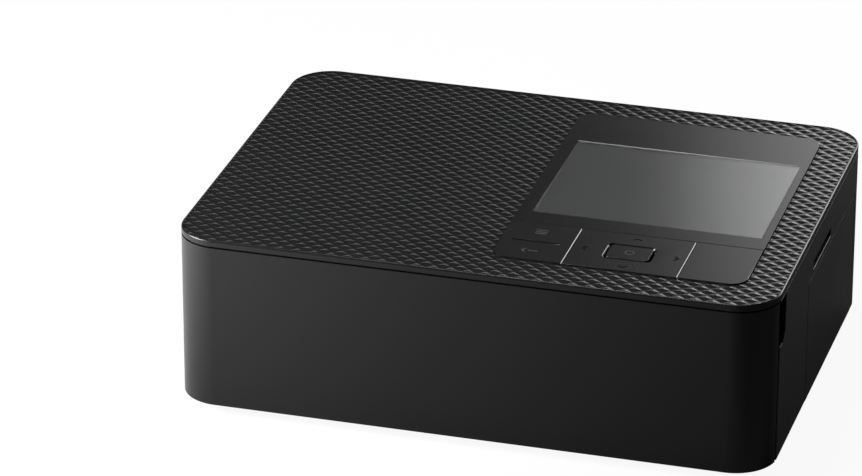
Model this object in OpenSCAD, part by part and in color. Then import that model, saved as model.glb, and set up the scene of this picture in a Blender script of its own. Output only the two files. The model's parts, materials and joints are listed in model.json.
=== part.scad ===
// Compact photo printer: a low black box with a display and keys in its top, a full-width door in
// front and an ink door on the right. X runs to the right, Y to the back, Z up, and the origin lies on
// the table under the middle of the case.

/* [Case] */
// Width of the case
body_w = 182.2; // [166:0.2:200]
// Depth of the case
body_d = 133; // [120:0.5:146]
// Height of the case above the table
body_h = 57.6; // [52:0.1:63]
// Radius of the upright corners
corner_r = 13; // [11:0.5:14]
// Thickness of the side and rear walls
wall_t = 2; // [1.6:0.1:2.2]
// Height of the case's lower edge above the table
stand_gap = 3.3; // [3:0.1:4]
// Thickness of the floor
floor_t = 2; // [1.6:0.1:2.2]
// Height of the smooth band round the top cover
band_h = 2.1; // [1.8:0.1:2.4]
// Height of the dark seam under the band
seam_gap = 0.5; // [0.3:0.1:0.8]
// Gap between casings that meet edge to edge
part_gap = 0.3; // [0.2:0.1:0.5]
// Rounding of the top cover's upper edge
edge_r = 0.6; // [0.4:0.1:0.9]
// Thickness of the bumped skin on the top cover
skin_t = 0.5; // [0.4:0.1:0.8]

/* [Front door] */
// How far the door's wings reach back along the sides
door_reach = 10.7; // [9:0.1:12]
// Thickness of the door
door_t = 2.2; // [1.8:0.1:2.4]
// Gap between the door's wings and the side panels
door_gap = 1; // [0.8:0.1:1.4]
// Distance of the door's pivot from the front face
door_pivot_in = 4.2; // [4:0.1:4.6]
// Height of the door's pivot over the lower edge
door_pivot_up = 2.3; // [2.2:0.1:2.6]
// Radius of the door's hinge pins
door_pin_r = 0.9; // [0.7:0.1:1]
// Distance of each door hinge from the side face
door_hinge_in = 21.1; // [20:0.1:24]
// Height of the finger notch
notch_h = 14.5; // [12:0.5:18]
// Length of the finger notch along the side
notch_l = 7.3; // [6:0.1:9]
// Depth of the finger notch
notch_deep = 5; // [4.5:0.1:6]

/* [Ink door] */
// Length of the ink door
ink_door_l = 66; // [64:0.5:68]
// Height of the strip between the ink door and the card slot
ink_card_gap = 1.95; // [1.5:0.05:2.2]
// Distance of the ink door's pivot from the side face
ink_pivot_in = 3.7; // [3.6:0.1:4]
// Radius of the ink door's hinge pins
ink_pin_r = 0.7; // [0.5:0.1:0.8]

/* [Control panel] */
// Right edge of the panel, from the right side of the case
panel_x_in = 11.2; // [11:0.1:12]
// Width of the panel
panel_w = 77.1; // [76.5:0.1:80]
// Front edge of the panel, from the front of the case
panel_y_in = 13.4; // [13:0.1:15]
// Rear edge of the panel, from the back of the case
panel_back_in = 10.7; // [10:0.1:12]
// Radius of the panel's corners
panel_r = 5.5; // [4:0.1:7]
// Depth of the key row
key_row_d = 25.5; // [24.5:0.1:26.5]
// Gap round each key
key_gap = 0.3; // [0.2:0.05:0.4]
// Thickness of the key caps
key_t = 1.6; // [1.4:0.1:1.8]
// Width of the left key
menu_w = 22.2; // [21:0.1:23]
// Width of the four-way key
nav_w = 34.7; // [34:0.1:36]
// Width of the centre key
ok_w = 12.8; // [12:0.1:13]
// Depth of the centre key
ok_d = 8.8; // [8:0.1:9]
// Width of the recess round the centre key
ok_recess_w = 15; // [14.8:0.1:15.4]
// Depth, front to back, of the recess round the centre key
ok_recess_d = 10.6; // [10.4:0.1:11]
// Travel of the keys that move straight down
key_travel = 0.4; // [0.2:0.05:0.4]
// Width of the display window
window_w = 69.9; // [66:0.1:70]
// Distance of the display window from the panel's rear edge
window_back_in = 21.8; // [20:0.1:24]
// Distance of the display window from the panel's left edge
window_x_in = 4.7; // [4:0.1:5]
// Distance of the display window from the key row
window_y_in = 7.8; // [7:0.1:8]
// Depth of the display under the panel's face
lcd_deep = 1.8; // [1.6:0.1:2]

/* [Card slot] */
// Length of the memory card slot
card_l = 24.5; // [24.5:0.1:26]
// Height of the memory card slot
card_h = 2.5; // [2.3:0.1:2.8]
// Distance of the card slot's middle from the casing's upper edge
card_down = 9.3; // [9.2:0.1:9.6]
// Middle of the card slot, from the middle of the case's depth
card_y = 3.25; // [2:0.25:5]

/* [Paper path] */
// Height at which the paper runs
paper_z = 20; // [19.8:0.1:20.2]
// Room on each side of the paper, for the side plates and the drives
side_room = 41.1; // [41:0.1:43]
// Distance of the print line from the back of the case
head_in = 48.5; // [47.5:0.5:49]
// Radius of the platen roller
platen_r = 7; // [6.5:0.1:7.4]
// Radius of the grip roller
grip_r = 4; // [3.6:0.1:4.2]
// Radius of the pinch roller
pinch_r = 3.5; // [3.2:0.1:3.6]
// Distance from the print line to the grip roller
grip_back = 36; // [35.5:0.1:36.5]
// Radius of the roller shafts
shaft_r = 2; // [1.8:0.1:2.2]
// Radial clearance of a shaft in its bearing
run_gap = 0.05; // [0.03:0.01:0.08]
// Thickness of a sheet of photo paper
sheet_t = 0.25; // [0.2:0.05:0.4]
// Width of the paper cassette bay beyond the paper, on each side
bay_side = 9.5; // [9:0.1:10]
// Gap between the pickup roller and the steel frame's upper edge
pickup_down = 1.2; // [1:0.1:3]
// Radius of the pickup roller
pickup_r = 7.5; // [7:0.1:8]
// Radius of a toothed wheel's pitch circle over its number of teeth, times two
gear_mod = 0.6; // [0.58:0.01:0.62]

/* [Ink cassette] */
// Distance from the print line to each spool
spool_off = 20; // [19.6:0.1:20.4]
// Wall of the cassette
cassette_wall = 0.8; // [0.6:0.1:1]
// Gap between a full ribbon roll and the wall of its chamber
roll_gap = 1; // [0.6:0.1:2]
// Radius of the spools' cores
core_r = 5.5; // [4.5:0.1:6]
// Radius of the spools' journals
journal_r = 3.5; // [3:0.1:4]

/* [Print head] */
// Distance of the head arm from the steel frame's upper edge
arm_down = 5.1; // [5:0.1:5.6]
// Depth of the heat sink
sink_d = 10; // [8:0.5:11]
// Thickness of the ceramic print head
head_t = 1.25; // [1:0.05:1.5]
// Distance from the print line forward to the head arm's pivot
head_pivot_y = 28; // [27:0.5:29]
// Offset of the lifting cam
cam_off = 3; // [2:0.1:3.1]

/* [Fan] */
// Gap between the fan and the pinch roller below it
fan_gap = 1.75; // [1.2:0.05:4]
// Thickness of the fan
fan_t = 10; // [8:0.5:10]
// Distance of the fan from the middle of the case
fan_x = 29.5; // [25:0.5:36]
// Number of fan blades
fan_blades = 7; // [5:1:9]

/* [Hidden] */
$fn = 64;

// Case, worked out
hw = body_w / 2;
hd = body_d / 2;
head_y = hd - head_in;
band_z = body_h - band_h;
side_top = band_z - seam_gap;
side_h = side_top - stand_gap;
card_z = side_top - card_down;
floor_z = stand_gap + floor_t;
skin_z = body_h - 0.1 - skin_t;
skin_top = skin_z + skin_t;
bore_gap = 0.05;
seat_gap = 0.2;
eps = 0.01;
foot_r = 6;
foot_peg_r = 2;
foot_x = hw - 19;
foot_y = hd - 16;

// Front door, worked out
door_y1 = -hd + door_reach;
panel_y_start = door_y1 + door_gap;
door_axis_y = -hd + door_pivot_in;
door_axis_z = stand_gap + door_pivot_up;
door_hinge_x = hw - door_hinge_in;
knuckle_r = door_pin_r + 0.9;
hinge_l = 6;
door_hinge_d = 3;
floor_front = door_axis_y + 3.1;
notch_top = side_top - 0.5;
notch_z = notch_top - notch_h;
notch_back = panel_y_start + notch_l;
notch_wall = 1;
notch_bevel = 3;

// Ink door, worked out
ink_y0 = head_y - ink_door_l / 2;
ink_y1 = head_y + ink_door_l / 2;
ink_top = card_z - card_h / 2 - ink_card_gap;
ink_axis_x = hw - ink_pivot_in;
ink_axis_z = stand_gap + 1.7;
ink_knuckle_r = ink_pin_r + 0.75;
ink_floor_x = ink_axis_x - 2.4;
ink_hinge_in = 5;
ink_hinge_l = 4;

// Control panel, worked out
panel_y0 = -hd + panel_y_in;
panel_x1 = hw - panel_x_in;
panel_x0 = panel_x1 - panel_w;
panel_d = body_d - panel_y_in - panel_back_in;
panel_y1 = panel_y0 + panel_d;
panel_face = body_h;
row_y1 = panel_y0 + key_row_d;
key_y0 = panel_y0 + key_gap;
key_y1 = row_y1 - key_gap / 2;
key_under = panel_face - key_t;
key_mid_y = (key_y0 + key_y1) / 2;
menu_x1 = panel_x0 + menu_w;
nav_x0 = menu_x1;
nav_x1 = nav_x0 + nav_w;
nav_x = (nav_x0 + nav_x1) / 2;
print_x = (nav_x1 + panel_x1) / 2;
menu_x = (panel_x0 + menu_x1) / 2;
tilt_z = key_under - 1.4;
pivot_r = 0.7;
tray_under = band_z - 4.7;
tray_top = tray_under + 1.2;
board_t = 1;
board_top = tray_top + board_t;
tray_wall = 1.2;
tray_in = 0.6;
frame_t = 1.4;
window_x0 = panel_x0 + window_x_in;
window_y0 = row_y1 + window_y_in;
window_x1 = window_x0 + window_w;
window_y1 = panel_y1 - window_back_in;
lcd_rim = 1.5;
switch_w = 3;
switch_d = 2.6;
switch_h = 1.2;
plunger_h = 0.6;
plunger_r = 0.8;
plunger_top = board_top + switch_h + plunger_h;
stem_gap = key_travel + 0.05;
stem_r = 1.2;
nav_switch_x = 12.6;
nav_switch_y = 10.6;
menu_switch_y = 6.6;
guide_r = 1;
print_guide_x = 5.8;
ring_w = 18;
ring_d = 14;
ring_t = 1.6;
ring_wall = 2;

// Paper path, worked out
paper_w = body_w - 2 * side_room;
plate_x = paper_w / 2 + 12.8;
plate_t = 1.2;
plate_out = plate_x + plate_t;
frame_y = -hd + 7.9;
frame_plate_t = 1.4;
frame_half_w = hw - 9.1;
plate_y0 = frame_y + frame_plate_t + seat_gap;
plate_y1 = hd - 4.5;
plate_top = band_z - 7.3;
roller_l = paper_w + 4;
platen_z = paper_z - 0.1 - platen_r;
grip_y = head_y + grip_back;
grip_z = paper_z - 0.1 - grip_r;
pinch_z = paper_z - 0.1 + sheet_t + pinch_r;
pinch_shaft_r = 1.5;
bush_wall = 1.4;
bush_t = 2.4;
guide_t = 1.2;
guide_top = paper_z - 0.4;
guide_y0 = head_y - 30;
guide_y1 = plate_y1 + 0.8;
slot_side = 1.6;
bay_floor = floor_z + 1;
bay_back = guide_y0 - 1.4;
bay_w = paper_w + 2 * bay_side;
rail_h = 5.7;
slot_z = paper_z - 2.1;
slot_h = 4.6;
slot_w = paper_w + 8;

// Pickup, worked out
pickup_shaft_y = head_y - 38;
pickup_shaft_z = plate_top - 5.2;
pickup_y = (frame_y + frame_plate_t + pickup_shaft_y) / 2 + 0.6;
pickup_z = plate_top - pickup_down - pickup_r;
bay_h = pickup_z - pickup_r - 0.3 - bay_floor;
pickup_shaft_r = 1.5;
pickup_axle_r = 1.2;
pickup_w = 19;
arm_boss_r = 3.6;
arm_end_r = 2.8;
arm_sleeve_r = 3;
arm_gap = 0.5;
cheek_t = 2;

// Toothed wheels: teeth, and the planes that they turn in
platen_teeth = 21;
pinion_teeth = 14;
drive_teeth = 30;
gear_w = 3;
belt_x = -plate_out - 5.5;
gear_x = belt_x - 4;
mesh_gap = 0.12;
press_angle = 20;
tooth_out = 0.8;
tooth_in = 1.15;
tooth_thin = 0.06;
platen_pr = gear_mod * platen_teeth / 2;
pinion_pr = gear_mod * pinion_teeth / 2;
drive_pr = gear_mod * drive_teeth / 2;
// The pulleys give both rollers the same speed at their faces
platen_pulley_r = 5.6;
grip_pulley_r = platen_pulley_r * grip_r / platen_r;
belt_t = 0.8;
flange_t = 0.4;
motor_dir = 150;
motor_y = head_y + (platen_pr + pinion_pr + mesh_gap) * cos(motor_dir);
motor_z = platen_z + (platen_pr + pinion_pr + mesh_gap) * sin(motor_dir);
motor_r = 10.5;
motor_collar_r = 3;
motor_shaft_r = 1;
motor_x = gear_x - 1.4;
motor_wall_gap = 2.2;
motor_l = hw - wall_t - motor_wall_gap + motor_x;
motor_bore = motor_l / 2;
ribbon_dir = 120;

// Ink cassette, worked out
case_over = 0.5;
arm_over = 1.4;
arm_z = plate_top - arm_down;
chamber_r = (arm_z - arm_over - paper_z - case_over) / 2;
roll_r = chamber_r - cassette_wall - roll_gap;
used_roll_r = max(core_r + 0.5, roll_r - 1.8);
ink_z = paper_z + case_over + chamber_r;
supply_y = head_y - spool_off;
takeup_y = head_y + spool_off;
case_x0 = -plate_x + 5.6;
case_x1 = plate_x - 0.6;
end_t = 1.2;
roll_l = paper_w + 2;
web_t = 0.12;
web_z = paper_z + 0.2;
ribbon_y = takeup_y + (drive_pr + pinion_pr + mesh_gap) * cos(ribbon_dir);
ribbon_z = ink_z + (drive_pr + pinion_pr + mesh_gap) * sin(ribbon_dir);
ribbon_motor_r = 5.5;
spindle_r = 2.5;
lever_y = takeup_y + chamber_r + 4.4;
lever_r = 3;
lever_reach = 8.5;
lever_hook = 2.2;
lever_pivot_r = 1;
lever_z = ink_z + 4;

// Print head, worked out
arm_t = 1.2;
arm_half_w = plate_x - 2.8;
arm_back = 8;
head_z = web_z + web_t + 0.08;
sink_z = head_z + head_t;
pivot_y = head_y - head_pivot_y;
pivot_z = arm_z + 2.4;
pivot_pin_r = 1.2;
ear_r = 2.4;
tab_w = 6;
cam_r = 5;
cam_clear = 1;
// The cam keeps clear of the ribbon drive's shaft
cam_over = chamber_r + arm_over - 0.1 - cam_r;
cam_y = takeup_y - sqrt(max(0, pow(cam_r + spindle_r + cam_clear, 2) - pow(cam_over, 2)));
cam_rise = cam_r - cam_off;
cam_z = arm_z - 0.1 - cam_rise;
cam_shaft_r = 1.2;

// Boards and sockets, worked out
main_x0 = -plate_out + 4;
main_x1 = panel_x0 - 5.8;
main_y0 = plate_y0 + 9;
main_y1 = plate_y1 - 14;
bridge_t = 1;
main_z = plate_top + bridge_t + 1.6;
main_t = 1.4;
bridge_front_y = head_y - 33.5;
bridge_back_y = head_y + 22.5;
bridge_back_end = bridge_back_y + 9.5;
card_x0 = plate_out + 1;
card_shell = 0.4;
card_body_l = card_l + 2;
port_x = hw - 15;
jack_z = 14.5;
jack_w = 9;
jack_h = 11;
jack_r = 2.75;
jack_pin_r = 0.8;
usb_z = 31.5;
usb_l = 9;
usb_t = 3.3;
sockets_y1 = hd - wall_t - seat_gap;
port_y0 = sockets_y1 - 12.8;
power_y = notch_back + 11.5;
power_z = card_z;
power_l = 9;
power_w = 4.6;
power_flange_t = 1.2;
power_travel = 0.5;
power_flange_x = -hw + wall_t + 0.1;
power_board_x = power_flange_x + power_flange_t + power_travel + 0.1 + switch_h + plunger_h;
power_post_y = 8;
fan_top = band_z - 1.6;
fan_w = fan_top - pinch_z - pinch_r - fan_gap;
fan_z = fan_top - fan_w / 2;
fan_y1 = hd - wall_t - 0.4;
fan_hole_r = fan_w / 2 - 1;
fan_hub_r = 5.4;
blade_r = fan_hole_r - 0.5;

// ---- Shared shapes ----

// A rectangle of width w and depth d with round corners, about the middle of the case
module round_rect(w, d, r) {
    union() {
        square([w - 2 * r, d], center = true);
        square([w, d - 2 * r], center = true);
        for (sx = [-1, 1], sy = [-1, 1])
            translate([sx * (w / 2 - r), sy * (d / 2 - r)]) circle(r);
    }
}

// The case's plan, drawn in from the outside by the given distance
module plan(inset) {
    round_rect(body_w - 2 * inset, body_d - 2 * inset, corner_r - inset);
}

// A wall that follows the plan between two insets
module plan_ring(out_in, in_in) {
    difference() {
        plan(out_in);
        plan(in_in);
    }
}

// A block between two corners
module block(lo, hi) {
    translate(lo) cube([hi[0] - lo[0], hi[1] - lo[1], hi[2] - lo[2]]);
}

// Turns a shape drawn in the YZ plane, and standing on it, to lie along X
module along_x(x, y, z) {
    translate([x, y, z]) rotate([90, 0, 90]) children();
}

// A shaft along X between two ends
module rod_x(x0, x1, y, z, r) {
    along_x(x0, y, z) cylinder(h = x1 - x0, r = r);
}

// A shaft along Y between two ends
module rod_y(x, y0, y1, z, r) {
    translate([x, y0, z]) rotate([-90, 0, 0]) cylinder(h = y1 - y0, r = r);
}

// A flat link between two round ends, drawn in the plane
module link(a, ra, b, rb) {
    turn = atan2(b[1] - a[1], b[0] - a[0]);
    lean = acos((ra - rb) / norm(b - a));
    low = [cos(turn - lean), sin(turn - lean)];
    high = [cos(turn + lean), sin(turn + lean)];
    union() {
        translate(a) circle(ra);
        translate(b) circle(rb);
        polygon([
            a + (ra - eps) * low, b + (rb - eps) * low,
            b + (rb - eps) * high, a + (ra - eps) * high
        ]);
    }
}

// The spread angle of an involute at distance r from a base circle
function involute(base, r) =
    r <= base ? 0 : sqrt(r * r - base * base) / base * 180 / PI - acos(base / r);

// Half the angle that a tooth spans at distance r from the centre
function half_tooth(teeth, r) =
    let (pr = gear_mod * teeth / 2, base = pr * cos(press_angle))
    90 / teeth - tooth_thin / pr * 90 / PI + involute(base, pr) - involute(base, r);

// Outline of a toothed wheel, with tooth number 0 on the first axis
module gear_outline(teeth) {
    pr = gear_mod * teeth / 2;
    root = pr - tooth_in * gear_mod;
    tip = pr + tooth_out * gear_mod;
    flank = [for (k = [0:3]) root + (tip - root) * k / 3];
    polygon([for (i = [0:teeth - 1], s = [-1, 1], k = [0:3])
        let (r = s < 0 ? flank[k] : flank[3 - k], a = 360 * i / teeth + s * half_tooth(teeth, r))
        [r * cos(a), r * sin(a)]]);
}

// A toothed wheel with a bore, turned by the given angle about its own axis
module gear(teeth, turn, bore) {
    linear_extrude(gear_w)
        difference() {
            rotate(turn) gear_outline(teeth);
            circle(bore);
        }
}

// A belt pulley with two flanges, on a shaft along X
module pulley(y, z, r) {
    rod_x(belt_x + eps, belt_x + gear_w - eps, y, z, r);
    for (x = [belt_x, belt_x + gear_w - flange_t])
        rod_x(x, x + flange_t, y, z, r + belt_t);
}

// The turn at which wheel b meshes with wheel a. Wheel b lies in direction dir from wheel a.
function mesh_turn(teeth_a, turn_a, teeth_b, dir) =
    dir + 180 - (0.5 - (dir - turn_a) * teeth_a / 360) * 360 / teeth_b;

motor_mesh = mesh_turn(platen_teeth, 0, pinion_teeth, motor_dir);
ribbon_mesh = mesh_turn(drive_teeth, 0, pinion_teeth, ribbon_dir);

// The panel's plan, drawn in by the given distance
module panel_plan(inset) {
    translate([panel_x0 + panel_w / 2, panel_y0 + panel_d / 2])
        round_rect(panel_w - 2 * inset, panel_d - 2 * inset, panel_r - inset);
}

// A key cap between two distances along X, with the panel's outer corners
module key_cap(x0, x1) {
    translate([0, 0, key_under])
        linear_extrude(key_t)
            intersection() {
                panel_plan(key_gap);
                translate([x0, key_y0]) square([x1 - x0, key_y1 - key_y0]);
            }
}

// ---- Case ----

module foot_places() {
    for (sx = [-1, 1], sy = [-1, 1])
        translate([sx * foot_x, sy * foot_y, 0]) children();
}

// Screws that hold the steel frame down
screw_x = plate_out + 3;
screw_ys = [plate_y0 + 11, plate_y1 - 5];
screw_r = 1.2;
screw_head_r = 2.2;
screw_head_h = 1.2;
module screw_places() {
    for (sx = [-1, 1], y = screw_ys)
        translate([sx * screw_x, y, 0]) children();
}

// An ear that holds one end of a door hinge pin
module door_ear(x0, x1) {
    ear_back = floor_front + 1;
    along_x(x0, 0, 0)
        linear_extrude(x1 - x0)
            difference() {
                union() {
                    translate([door_axis_y, door_axis_z]) circle(knuckle_r);
                    translate([door_axis_y, stand_gap + 0.5])
                        square([ear_back - door_axis_y, door_axis_z + knuckle_r - stand_gap - 0.5]);
                }
                translate([door_axis_y, door_axis_z]) circle(door_pin_r);
            }
}

module bottom_case() {
    lip_in = wall_t + seat_gap;
    lip_t = 1.4;
    color("#161616") {
        difference() {
            union() {
                translate([0, 0, stand_gap])
                    linear_extrude(floor_t)
                        intersection() {
                            plan(lip_in);
                            union() {
                                translate([-frame_half_w, floor_front])
                                    square([2 * frame_half_w, hd - floor_front]);
                                translate([-hw, panel_y_start]) square([body_w, body_d]);
                            }
                        }
                translate([0, 0, floor_z - eps])
                    linear_extrude(5)
                        intersection() {
                            plan_ring(lip_in, lip_in + lip_t);
                            translate([-hw, panel_y_start]) square([body_w, body_d]);
                        }
            }
            // room for the ink door's lower edge as it swings
            block([ink_floor_x, ink_y0 - part_gap, 0], [hw, ink_y1 + part_gap, floor_z + 6]);
            // places of the sockets behind
            block([plate_out + 1, sockets_y1 - 4.3, floor_z], [port_x + board_t, hd, floor_z + 6]);
            foot_places() cylinder(h = floor_z + 1, r = foot_peg_r + bore_gap);
            screw_places() cylinder(h = floor_z + 1, r = screw_r + bore_gap);
            screw_places() cylinder(h = stand_gap + screw_head_h + 0.2, r = screw_head_r + 0.2);
        }
        for (sx = [-1, 1]) {
            door_ear(sx * door_hinge_x - hinge_l / 2 - 0.2 - door_hinge_d,
                sx * door_hinge_x - hinge_l / 2 - 0.2);
            door_ear(sx * door_hinge_x + hinge_l / 2 + 0.2,
                sx * door_hinge_x + hinge_l / 2 + 0.2 + door_hinge_d);
        }
        // ears of the ink door's hinges
        for (y = [ink_y0 + ink_hinge_in - ink_hinge_l - 0.2, ink_y1 - ink_hinge_in + 0.2])
            translate([0, y + ink_hinge_l, 0])
                rotate([90, 0, 0])
                    linear_extrude(ink_hinge_l)
                        difference() {
                            union() {
                                translate([ink_axis_x, ink_axis_z]) circle(ink_knuckle_r);
                                translate([ink_floor_x - 1, ink_axis_z - ink_knuckle_r])
                                    square([ink_axis_x - ink_floor_x + 1, 2 * ink_knuckle_r]);
                            }
                            translate([ink_axis_x, ink_axis_z]) circle(ink_pin_r);
                        }
    }
}

module rubber_feet() {
    color("#2a2a2a")
        foot_places() {
            rotate_extrude()
                polygon([[0, 0], [foot_r - 0.8, 0], [foot_r, 0.8], [foot_r, stand_gap], [0, stand_gap]]);
            cylinder(h = floor_z, r = foot_peg_r);
        }
}

module case_screws() {
    color("silver")
        screw_places() {
            translate([0, 0, stand_gap + 0.2]) cylinder(h = screw_head_h, r = screw_head_r);
            translate([0, 0, stand_gap + 0.2]) cylinder(h = floor_t + 1, r = screw_r);
        }
}

// A side casing, drawn on the right: it wraps the rear corner, and has the finger notch in front
module side_casing() {
    notch_in = hw - wall_t - notch_deep;
    difference() {
        translate([0, 0, stand_gap])
            linear_extrude(side_h)
                intersection() {
                    plan_ring(0, wall_t);
                    union() {
                        translate([hw - corner_r - part_gap, 0]) square([corner_r + 1, hd + 1]);
                        translate([hw - wall_t - 1, panel_y_start])
                            square([wall_t + 2, -panel_y_start + 1]);
                    }
                }
        // the notch, with its lower rear corner cut off
        along_x(hw - wall_t - 1, 0, 0)
            linear_extrude(wall_t + 2)
                polygon([
                    [panel_y_start - 1, notch_z], [notch_back - notch_bevel, notch_z],
                    [notch_back, notch_z + notch_bevel], [notch_back, notch_top],
                    [panel_y_start - 1, notch_top]
                ]);
    }
    // the pocket behind the notch
    difference() {
        block([notch_in - notch_wall, panel_y_start, notch_z - notch_wall],
            [hw - wall_t + eps, notch_back + notch_wall, side_top]);
        block([notch_in, panel_y_start - 1, notch_z], [hw, notch_back, notch_top]);
    }
}

module left_panel() {
    color("#161616") {
        difference() {
            mirror([1, 0, 0]) side_casing();
            along_x(-hw - 1, power_y, power_z)
                linear_extrude(wall_t + 2)
                    round_rect(power_l + 0.4, power_w + 0.4, power_w / 2 + 0.19);
        }
        // posts that carry the power key's board
        for (sy = [-1, 1])
            rod_x(-hw + wall_t - eps, power_board_x, power_y + sy * power_post_y, power_z, 1.2);
    }
}

module right_panel() {
    color("#161616")
        difference() {
            side_casing();
            block([hw - wall_t - 1, ink_y0 - part_gap, 0], [hw + 1, ink_y1 + part_gap, ink_top + part_gap]);
            block([hw - wall_t - 1, card_y - card_l / 2, card_z - card_h / 2],
                [hw + 1, card_y + card_l / 2, card_z + card_h / 2]);
        }
}

module rear_panel() {
    half = hw - corner_r - 2 * part_gap;
    vent_w = 1.6;
    vent_step = 3.2;
    color("#161616")
        difference() {
            block([-half, hd - wall_t, stand_gap], [half, hd, side_top]);
            // paper passes out here while it prints
            block([-slot_w / 2, hd - wall_t - 1, slot_z], [slot_w / 2, hd + 1, slot_z + slot_h]);
            // vents behind the fan
            for (i = [-4:4])
                translate([-fan_x + i * vent_step, hd - wall_t - 1, fan_z])
                    rotate([-90, 0, 0])
                        linear_extrude(wall_t + 2)
                            round_rect(vent_w, fan_w - 4, vent_w / 2 - eps);
            // vents for the boards
            for (i = [0:9])
                translate([10 + i * vent_step, hd - wall_t - 1, fan_z])
                    rotate([-90, 0, 0])
                        linear_extrude(wall_t + 2)
                            round_rect(vent_w, fan_w - 10, vent_w / 2 - eps);
            rod_y(port_x - jack_w / 2, hd - wall_t - 1, hd + 1, jack_z, jack_r + 0.7);
            translate([port_x - usb_t / 2, hd - wall_t - 1, usb_z])
                rotate([-90, 0, 0])
                    linear_extrude(wall_t + 2)
                        round_rect(usb_t + 0.6, usb_l + 0.6, (usb_t + 0.6) / 2 - eps);
        }
}

// Section of the top cover's border, on the outline's own axis
border_in = 3;
module border_section() {
    polygon(concat(
        [[-border_in, band_z], [0, band_z]],
        [for (a = [0:15:90]) [-edge_r + edge_r * cos(a), skin_top - edge_r + edge_r * sin(a)]],
        [[-edge_r, skin_z], [-border_in, skin_z]]));
}

// The border section carried once round the plan
module border() {
    for (sx = [0, 1])
        mirror([sx, 0, 0])
            translate([hw, hd - corner_r, 0])
                rotate([90, 0, 0])
                    linear_extrude(body_d - 2 * corner_r) border_section();
    for (sy = [0, 1])
        mirror([0, sy, 0])
            translate([-hw + corner_r, hd, 0])
                rotate([90, 0, 90])
                    linear_extrude(body_w - 2 * corner_r) border_section();
    for (sx = [0, 1], sy = [0, 1])
        mirror([sx, 0, 0])
            mirror([0, sy, 0])
                translate([hw - corner_r, hd - corner_r, 0])
                    rotate_extrude(angle = 90) translate([corner_r, 0]) border_section();
}

module top_cover() {
    skirt_in = door_t + 0.4;
    skirt_t = 1.5;
    skirt_h = 3.2;
    color("#161616")
        difference() {
            union() {
                border();
                translate([0, 0, band_z]) linear_extrude(skin_z - band_z) plan(border_in - eps);
                translate([0, 0, band_z - skirt_h])
                    linear_extrude(skirt_h + eps) plan_ring(skirt_in, skirt_in + skirt_t);
            }
            translate([0, 0, band_z - 1]) linear_extrude(band_h + 2) panel_plan(0);
            // the skirt leaves the fan and the two finger pockets free
            block([-fan_x - fan_w / 2 - 1, hd - wall_t - fan_t, band_z - skirt_h - 1],
                [-fan_x + fan_w / 2 + 1, hd, band_z]);
            for (sx = [-1, 1])
                translate([sx * hw, 0, 0])
                    block([-wall_t - notch_deep - notch_wall - 1, -hd, band_z - skirt_h - 1],
                        [wall_t + notch_deep + notch_wall + 1, notch_back + notch_wall + 1, band_z]);
        }
}

module top_plate() {
    color("#1c1c1c")
        translate([0, 0, skin_z])
            linear_extrude(skin_t)
                difference() {
                    plan(edge_r);
                    panel_plan(0);
                }
}

// ---- Control panel ----

module panel_frame() {
    frame_y0 = row_y1 + key_gap / 2;
    foot_in = 8;
    foot_t = 1.6;
    color("#101010")
        difference() {
            union() {
                translate([0, 0, panel_face - frame_t])
                    linear_extrude(frame_t)
                        intersection() {
                            panel_plan(seat_gap);
                            translate([panel_x0, frame_y0]) square([panel_w, panel_d]);
                        }
                // feet that stand on the tray, in front of and behind the display
                for (y = [frame_y0 + 0.4, panel_y1 - 3])
                    block([panel_x0 + foot_in, y, tray_top],
                        [panel_x1 - foot_in, y + foot_t, panel_face - frame_t + eps]);
            }
            block([window_x0, window_y0, tray_top], [window_x1, window_y1, panel_face + 1]);
        }
}

module display_window() {
    pane_t = 0.8;
    color("#33373b")
        block([window_x0 + 0.1, window_y0 + 0.1, panel_face - 0.15 - pane_t],
            [window_x1 - 0.1, window_y1 - 0.1, panel_face - 0.15]);
}

module lcd_module() {
    color("#565a5e") {
        block([window_x0 - lcd_rim, window_y0 - lcd_rim, tray_top],
            [window_x1 + lcd_rim, window_y1 + lcd_rim, panel_face - lcd_deep - 0.4]);
        block([window_x0 + 0.2, window_y0 + 0.2, panel_face - lcd_deep - 0.4 - eps],
            [window_x1 - 0.2, window_y1 - 0.2, panel_face - lcd_deep]);
    }
}

// A small upright on the tray with a bore along X
module post_x(x, y) {
    difference() {
        block([x - 0.7, y - 1.6, tray_top], [x + 0.7, y + 1.6, tilt_z + 0.9]);
        rod_x(x - 1, x + 1, y, tilt_z, pivot_r + run_gap);
    }
}

// Where the uprights of the left key and of the ring under the four-way key stand
menu_post = menu_w / 2 - 1.6;
nav_post = ring_w / 2 + 1;
module key_posts() {
    for (sx = [-1, 1]) {
        post_x(menu_x + sx * menu_post, key_mid_y);
        post_x(nav_x + sx * nav_post, key_mid_y);
    }
}

module panel_tray() {
    color("#242424")
        difference() {
            union() {
                translate([0, 0, tray_under])
                    linear_extrude(band_z - tray_under) panel_plan(-tray_in - tray_wall);
                for (x = [panel_x0 + 10, panel_x1 - 22], y = [panel_y0 + 13.1, bridge_back_y + 3.5])
                    translate([x, y, plate_top + bridge_t])
                        cylinder(h = tray_under - plate_top - bridge_t + eps, r = 3);
            }
            translate([0, 0, tray_top]) linear_extrude(10) panel_plan(-tray_in);
        }
    color("#242424") {
        key_posts();
        for (sx = [-1, 1])
            translate([print_x + sx * print_guide_x, key_mid_y, tray_top])
                difference() {
                    cylinder(h = 2.6, r = guide_r + 1);
                    cylinder(h = 3, r = guide_r + bore_gap);
                }
    }
}

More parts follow.
